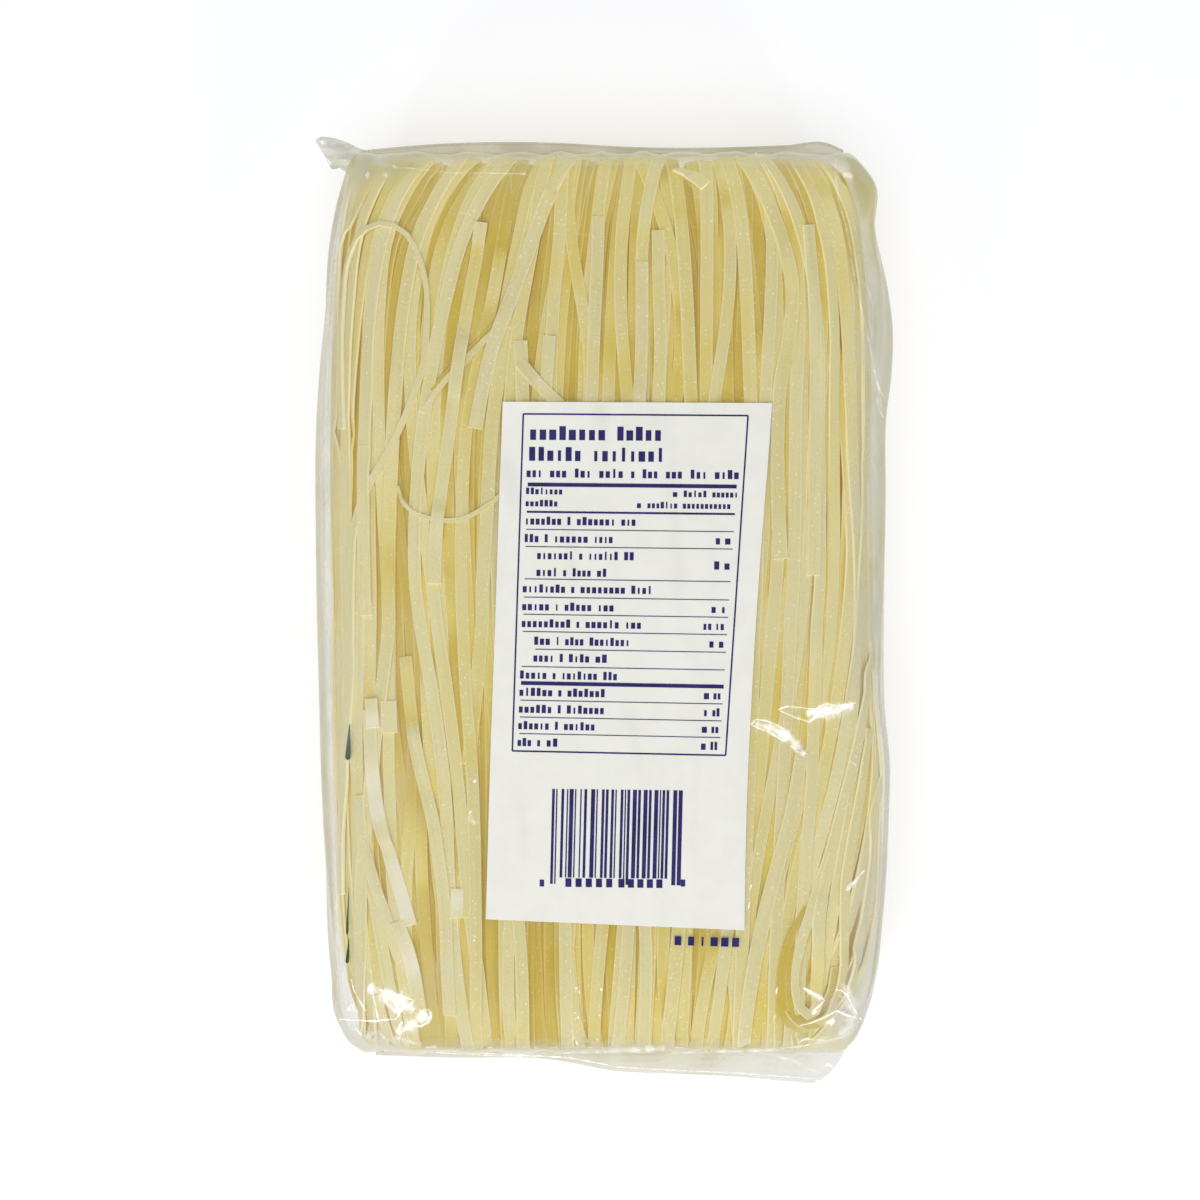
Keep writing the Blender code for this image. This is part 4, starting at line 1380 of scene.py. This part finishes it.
SEAL_CREASE_GLINTS = (
    (((-62, -107.2), (-56, -108.8), (-48, -109.8), (-40, -110.3), (-30, -110.8), (-16, -111.3)),
     (0.3, 0.5, 0.4, 0.3, 0.3, 0.2), 0.8),
    (((-52, -109.2), (-30, -110.4), (-8, -111.5), (4, -113.8), (16, -114.5), (34, -115.4), (53, -116.7)),
     (0.2, 0.3, 0.35, 0.4, 0.35, 0.4, 0.2), 0.8),
    (((38, -109.9), (47, -112), (54, -115.4)), (0.3, 1.2, 0.5), 0.35),
    (((55, -113.6), (56.4, -113.2), (57.4, -114)), (0.5, 0.8, 0.3), 0.6),
)
EAR_CREASE_GLINTS = (
    (((-69.8, 115.7), (-69, 115.4), (-68, 114.3)), (0.4, 0.9, 0.3), 0.8),
    (((-68.4, 112), (-67.5, 110.6), (-66.8, 109.5)), (0.2, 0.4, 0.3), 0.9),
    (((-66, 111.9), (-65.6, 111.6)), (0.4, 0.3), 0.7),
    (((-63, 113.4), (-64.5, 112.2), (-66.4, 111.6)), (0.2, 0.3, 0.2), 0.35),
)


# Across a crease: the places in its half-widths, and how white it is at each
CREASE_ACROSS = np.array([-1.1, -0.7, -0.35, 0.0, 0.35, 0.7, 1.1])
CREASE_PROFILE = np.array([0.0, 0.3, 0.75, 1.0, 0.75, 0.3, 0.0])
CREASE_STEP = 0.35
CREASE_OVER = 0.14  # how far a crease lies over the film, and over the seal and the ear
SEAL_CREASE_OVER = 0.1


def lay_grids(name, grids, level, material, marks=None):
    """A piece of many grids of points laid on a surface: x and y of each grid, and the surface's height."""
    faces, count = [], 0
    for x, _ in grids:
        faces.append(grid_faces(*x.shape, flip=True) + count)
        count += x.size
    x, y = (np.concatenate([grid[k].ravel() for grid in grids]) for k in (0, 1))
    return put_mesh(name, np.stack([x, y, level(x, y)], -1), faces, material, marks=marks)


def crease_glint_ribbons(name, creases, level, material):
    """Sharp creases and their painted glints as narrow ribbons laid on the film. Each follows its line in
    steps, its width is that of the list with a fine unevenness, and its whiteness falls off to both sides and
    both ends."""
    grids, white = [], []
    for line, widths, strength in creases:
        line = np.array(line, float)
        walked = walked_along(line)
        fine = np.linspace(0, walked[-1], max(int(walked[-1] / CREASE_STEP), 6))
        x, y = (np.interp(fine, walked, line[:, k]) for k in (0, 1))
        dx, dy = np.gradient(x), np.gradient(y)
        length = np.hypot(dx, dy)
        uneven = 0.72 + 0.3 * np.sin(fine * 2.9 + line[0, 0]) * np.sin(fine * 1.3)
        fading = 0.72 + 0.28 * np.sin(fine * 1.1 + line[0, 1]) * np.cos(fine * 0.43 + line[0, 0])
        wide = np.interp(fine, walked, widths) * uneven
        grids.append((x[:, None] - (dy / length * wide)[:, None] * CREASE_ACROSS,
                      y[:, None] + (dx / length * wide)[:, None] * CREASE_ACROSS))
        ends = np.minimum(1, np.minimum(fine, walked[-1] - fine) / 0.5 + 0.35)
        white.append((strength * (ends * fading)[:, None] * CREASE_PROFILE).ravel())
    return lay_grids(name, grids, level, material, {"white": np.concatenate(white)})


CREASE_GLINT = crease_glint_finish()
film_pieces += [
    crease_glint_ribbons("film_crease_glints", CREASE_GLINTS, lambda x, y: film_top(x, y) + CREASE_OVER, CREASE_GLINT),
    crease_glint_ribbons("seal_crease_glints", SEAL_CREASE_GLINTS, lambda x, y: fin_level(x, y) + SEAL_CREASE_OVER, CREASE_GLINT),
    crease_glint_ribbons("ear_crease_glints", EAR_CREASE_GLINTS, lambda x, y: ear_level(x, y) + SEAL_CREASE_OVER, CREASE_GLINT)]

# ---------------------------------------------------------------- the print

LABEL_LEFT = ((-80, -28.5), (-40, -27.4), (0, -26), (30, -25), (52, -24.2))
LABEL_RIGHT = ((-82, 35), (-60, 35.3), (-40, 35.9), (-20, 36.9), (0, 38.1), (20, 39.5), (40, 41.1),
               (52, 41.9))
LABEL_FOOT = (-76.3, -79.0)  # y of the field's lower edge at its left and at its right end
LABEL_TALL = (126.9, 129.3)  # its height there
PRINT_OVER = 0.16  # how far the dark ink lies over the film
LABEL_OVER = 0.08  # how far the white lies over it
PRINT_STEP = 0.9  # between the points of a printed bar
TABLE_TALL = 83.0  # height of the printed table
TABLE = np.array([(-19.2, 47.6), (35.9, 47.2), (-21.9, -35.0), (30.4, -36.1)])  # corners, upper left first
FRAME_LINE, HEAVY_LINE, MIDDLE_LINE, FINE_LINE = 0.4, 0.95, 0.5, 0.22
STRIPE_STEP = 0.33  # width of the narrowest stripe
STRIPES_FROM, STRIPES_TO = -12.1, 19.0
STRIPES_TOP, STRIPES_FOOT, GUARD_FOOT = -44.3, -66.0, -67.6
PRINT_SLOPE = 0.012  # how far the print falls towards the right


def white_field(name, material):
    """The white field: a grid between its left and right edges, laid on the film."""
    a, b = np.meshgrid(np.linspace(0, 1, 100), np.linspace(0, 1, 180))
    (foot, foot_right), (tall, tall_right) = LABEL_FOOT, LABEL_TALL
    y = foot + (foot_right - foot) * a + (tall + (tall_right - tall) * a) * b
    left, right = through(LABEL_LEFT, y), through(LABEL_RIGHT, y)
    x = left + (right - left) * a
    points = np.stack([x, y, film_over(x, y) + LABEL_OVER], -1)
    return put_mesh(name, points, [grid_faces(*x.shape)], material)


def on_table(u, v):
    """A place in the printed table, u across and v down, each 0 to 1."""
    u, v = np.asarray(u, float)[..., None], np.asarray(v, float)[..., None]
    return (TABLE[0] * (1 - u) + TABLE[1] * u) * (1 - v) + (TABLE[2] * (1 - u) + TABLE[3] * u) * v


def strips(name, bars, over, material):
    """Printed bars, each from one point to another with a width, as narrow strips laid on the film."""
    grids = []
    for (ax, ay), (bx, by), wide in bars:
        length = math.hypot(bx - ax, by - ay)
        along = np.linspace(0, 1, max(int(length / PRINT_STEP), 1) + 1)[:, None]
        across = np.linspace(-0.5, 0.5, max(int(wide / PRINT_STEP), 1) + 1)[None, :] * wide
        grids.append((ax + (bx - ax) * along - (by - ay) / length * across,
                      ay + (by - ay) * along + (bx - ax) / length * across))
    return lay_grids(name, grids, lambda x, y: film_over(x, y) + over, material)


def table_bars(rng):
    """The table: its frame and rules, and rows of blank bars in place of words and figures."""
    bars = []

    def rule(u0, v0, u1, v1, wide):
        bars.append((tuple(on_table(u0, v0)), tuple(on_table(u1, v1)), wide))

    def words(u0, v, widths, high, gap=0.022):
        """Blank words: each a row of small blocks of uneven height, as wide as letters would be."""
        letter = 0.0125 * high
        for wide in widths:
            count = max(int(round(wide / letter)), 1)
            for k in range(count):
                at = u0 + (k + 0.5) * wide / count
                tall = high * rng.choice((0.74, 0.74, 0.76, 1.0))
                half = rng.choice((0.17, 0.3, 0.33, 0.33, 0.36, 0.36)) * wide / count
                low = v + (high - tall) / 2 / TABLE_TALL
                rule(at - half, low, at + half, low, tall)
            u0 += wide + gap

    for ends in ((0, 0, 1, 0), (0, 1, 1, 1), (0, 0, 0, 1), (1, 0, 1, 1)):
        rule(*ends, FRAME_LINE)
    rule(0.03, 0.209, 0.97, 0.209, HEAVY_LINE)
    rule(0.03, 0.290, 0.97, 0.290, MIDDLE_LINE)
    for v in (0.342, 0.393, 0.489, 0.543, 0.594, 0.645, 0.749):
        rule(0.03, v, 0.97, v, FINE_LINE)
    rule(0.03, 0.798, 0.97, 0.798, HEAVY_LINE)
    for v in (0.849, 0.899, 0.948):
        rule(0.03, v, 0.97, v, FINE_LINE)
    rule(0.09, 0.697, 0.97, 0.697, FINE_LINE)
    words(0.885, 0.442, (0.035, 0.035), 2.0, 0.012)
    words(0.025, 0.056, (0.35, 0.21), 3.4, 0.04)
    words(0.025, 0.118, (0.245, 0.33), 3.4, 0.04)
    words(0.02, 0.174, (0.075, 0.08, 0.08, 0.115, 0.02, 0.075, 0.08, 0.08, 0.115), 2.2, 0.03)
    words(0.02, 0.228, (0.17,), 1.6)
    words(0.02, 0.264, (0.15,), 1.6)
    words(0.68, 0.232, (0.03, 0.11, 0.12), 1.6, 0.02)
    words(0.52, 0.266, (0.03, 0.14, 0.22), 1.6, 0.02)
    # the rows: place down, whether indented, the words' widths, and the width of the figures at the right
    rows = ((0.316, 0, (0.17, 0.02, 0.18, 0.07), 0), (0.368, 0, (0.07, 0.02, 0.16, 0.09), 0.08),
            (0.418, 1, (0.17, 0.02, 0.14, 0.05), 0), (0.468, 1, (0.1, 0.02, 0.09, 0.05), 0),
            (0.517, 0, (0.2, 0.02, 0.21, 0.1), 0), (0.570, 0, (0.13, 0.02, 0.13, 0.08), 0.08),
            (0.620, 0, (0.23, 0.02, 0.16, 0.08), 0.11), (0.672, 1, (0.08, 0.02, 0.09, 0.19), 0.08),
            (0.722, 1, (0.1, 0.02, 0.1, 0.06), 0), (0.773, 0, (0.13, 0.02, 0.17, 0.07), 0),
            (0.824, 0, (0.16, 0.02, 0.18, 0), 0.09), (0.874, 0, (0.16, 0.02, 0.18, 0), 0.09),
            (0.923, 0, (0.15, 0.02, 0.15, 0), 0.09), (0.973, 0, (0.07, 0.02, 0.06, 0), 0.09))
    for v, indent, widths, right in rows:
        words(0.02 + 0.06 * indent, v, [w for w in widths if w], 2.0)
        if right:
            words(0.965 - right, v, (right * 0.4, right * 0.42), 2.0, 0.012)
    return bars


def stripe_bars(rng):
    """A block of upright stripes of several widths, and a broken line under it. It stands for no number."""
    bars = []
    x = STRIPES_FROM
    number = 0
    while x < STRIPES_TO:
        wide = STRIPE_STEP * rng.choice((1, 1, 2, 2, 3))
        guard = number in (0, 1, 15, 16) or x > STRIPES_TO - 1.4
        foot = GUARD_FOOT if guard else STRIPES_FOOT
        fall = PRINT_SLOPE * (x + 12)
        bars.append(((x + wide / 2, STRIPES_TOP - fall), (x + wide / 2 - 0.55, foot - fall), wide))
        x += wide + STRIPE_STEP * rng.choice((1, 1, 2, 3))
        number += 1
    # blank blocks for the figures: under the stripes, at both sides, and in the line at the foot of the field
    for x in np.concatenate([np.linspace(-8.9, 1.1, 5), np.linspace(4.1, 13.4, 5)]):
        level = -67.4 - PRINT_SLOPE * x
        bars.append(((x, level), (x + 1.5, level), 2.1))
    for x in (-15.2, 19.4):
        bars.append(((x, -67.4), (x + 1.1, -67.4), 1.7))
    for x, long in ((17.9, 1.6), (21.2, 1.5), (24.5, 0.5), (26.7, 1.8), (29.3, 1.8), (32, 1.7)):
        bars.append(((x, -81.5 - 0.03 * (x - 17)), (x + long, -81.5 - 0.03 * (x + long - 17)), 2.2))
    return bars


def print_finish(name, low, high, rough):
    """Ink on the film: an even colour that thins a little in places, as glossy as the film."""
    f = Finish(name)
    where = f.node("ShaderNodeTexCoord")[3]
    patchy = f.noise(where, 160.0, 3.0, 0.6)
    fine = f.noise(where, 2500.0, 2.0, 0.6)
    colour = f.mix(f.steps(patchy, 0.3, 0.7), low, high)
    shader = f.node("ShaderNodeBsdfPrincipled", {}, {
        "Base Color": colour, "Roughness": rough + fine * 0.12,
        "Normal": f.bump(patchy + fine * 0.1, 0.15, 0.0004)})
    return f.surface(shader)


WHITE = print_finish("label_white", (0.83, 0.83, 0.775), (0.86, 0.86, 0.805), 0.16)
NAVY = print_finish("label_navy", (0.010, 0.008, 0.10), (0.022, 0.018, 0.15), 0.2)
print_pieces = [white_field("label_field", WHITE), strips("label_table", table_bars(rng), PRINT_OVER, NAVY),
                strips("label_stripes", stripe_bars(rng), PRINT_OVER, NAVY)]

# ---------------------------------------------------------------- the printed front, underneath

FRONT_FIELDS = (((0, 38), 92, 96), ((0, -58), 92, 50))  # middle, width and length of each plain field
FRONT_LEVEL = 0.06
FIELD_POINTS = 96
# The print of the front as it shows between the outermost strands on the left: ends, place and width
SLIVERS = ((-28.4, -37.4, -61.9, 1.5), (-68.5, -80.4, -62.1, 0.7), (-81.2, -87.4, -62.1, 1.0))
SLIVER_UNDER = 0.05  # how far a sliver lies under the film's upper side


def front_print(name, material):
    """The front's print, underneath: two plain fields with rounded corners, on the flat of the film."""
    points, faces = [], []
    turn = np.linspace(0, 2 * math.pi, FIELD_POINTS, endpoint=False)
    for number, ((x, y), wide, long) in enumerate(FRONT_FIELDS):
        points.append(np.stack([x + wide / 2 * signed_power(np.cos(turn), 0.3),
                                y + long / 2 * signed_power(np.sin(turn), 0.3),
                                np.full_like(turn, FRONT_LEVEL)], -1))
        faces.append((np.arange(FIELD_POINTS) + FIELD_POINTS * number)[None, ::-1])
    return put_mesh(name, np.concatenate(points), faces, material, smooth=False)


def slivers(name, material):
    """Narrow slivers just under the film: each widens with a power of the way down, and ends bluntly."""
    grids = []
    down, across = np.meshgrid(np.linspace(0, 1, 24), np.linspace(-0.5, 0.5, 4), indexing="ij")
    blunt = ((1 - down) / 0.08).clip(0, 1) ** 0.5
    for upper, lower, x, wide in SLIVERS:
        grids.append((x - 0.5 * down + across * wide * (0.08 + 0.92 * down**0.8 * blunt),
                      upper + (lower - upper) * down))
    return lay_grids(name, grids, lambda x, y: film_over(x, y) - SLIVER_UNDER, material)


GREEN = print_finish("front_green", (0.007, 0.044, 0.005), (0.045, 0.13, 0.03), 0.25)
print_pieces.append(front_print("front_print", GREEN))
print_pieces.append(slivers("front_print_at_side", GREEN))

# ---------------------------------------------------------------- the stage

# Places and sizes of the stage are in metres
AIM = (0, 0, 0.02)
FLOOR_GLOW = 0.525
ROOM_LIGHT = 0.37
WINDOWS = ((57, 1, 0.35), (128, 1, 0.35), (-58, 4, 0.95), (-124, 4, 0.95))  # degrees, power and height
WINDOWS_AWAY = 1.65
LENS_PLATE = 36  # mm
LENS_AWAY = 2.2
LENS_OVER = (-0.0004, 0.002)  # the place that it looks straight down at
LENS_LEVEL = 0.03  # the level at which the picture is this wide
FRAME_WIDTH = 0.2962


def stage_finish():
    """A white backdrop: light grey with a glow of its own, so that it stays white beside the bag."""
    f = Finish("backdrop")
    cloud = f.noise(f.node("ShaderNodeTexCoord")[3], 3.0)
    shader = f.node("ShaderNodeBsdfPrincipled", {}, {
        "Base Color": f.mix(cloud, (0.50, 0.51, 0.55), (0.52, 0.53, 0.57)), "Roughness": 0.8,
        "Emission Color": (1.0, 1.0, 1.0), "Emission Strength": FLOOR_GLOW})
    return f.unlisted(f.surface(shader))


def light(name, place, size, power):
    """A soft lamp, aimed at the middle of the bag."""
    lamp = bpy.data.lights.new(name, "AREA")
    lamp.shape = "RECTANGLE"
    lamp.size, lamp.size_y = size
    lamp.energy = power
    made = bpy.data.objects.new(name, lamp)
    bpy.context.scene.collection.objects.link(made)
    made.location = place
    made.rotation_euler = (Vector(AIM) - Vector(place)).to_track_quat("-Z", "Y").to_euler()
    return made


FLOOR_HALF = 3000.0  # mm
floor = put_mesh("floor", FLOOR_HALF * np.array([(-1, -1, 0), (1, -1, 0), (1, 1, 0), (-1, 1, 0)]),
                 [np.array([[0, 1, 2, 3]])], stage_finish())

scene = bpy.context.scene
world = bpy.data.worlds.new("room")
world.use_nodes = True
background = world.node_tree.nodes["Background"]
background.inputs["Color"].default_value = (1, 1, 1, 1)
background.inputs["Strength"].default_value = ROOM_LIGHT
scene.world = world
# the soft box over the table leaves no mirror image on the film, the four small windows do
soft_box = light("soft_box", (-0.15, -0.5, 1.9), (1.4, 1.4), 21.8)
soft_box.visible_glossy = False
for number, (turn, power, high) in enumerate(WINDOWS):
    turn = math.radians(turn)
    place = (WINDOWS_AWAY * math.cos(turn), WINDOWS_AWAY * math.sin(turn), high)
    light("window_%d" % (number + 1), place, (0.3, 0.3), power)
scene.view_settings.view_transform = "Standard"

lens = bpy.data.cameras.new("camera")
camera = bpy.data.objects.new("camera", lens)
scene.collection.objects.link(camera)
lens.lens = LENS_PLATE * LENS_AWAY / FRAME_WIDTH
lens.clip_end = 20
camera.location = (*LENS_OVER, LENS_AWAY + LENS_LEVEL)
scene.camera = camera

# the film takes no light from what it covers
for piece in film_pieces:
    piece.visible_shadow = False
    piece.visible_diffuse = False

for piece in strands + [ends, inside] + film_pieces + print_pieces:
    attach(piece, "root")
    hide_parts("bag")
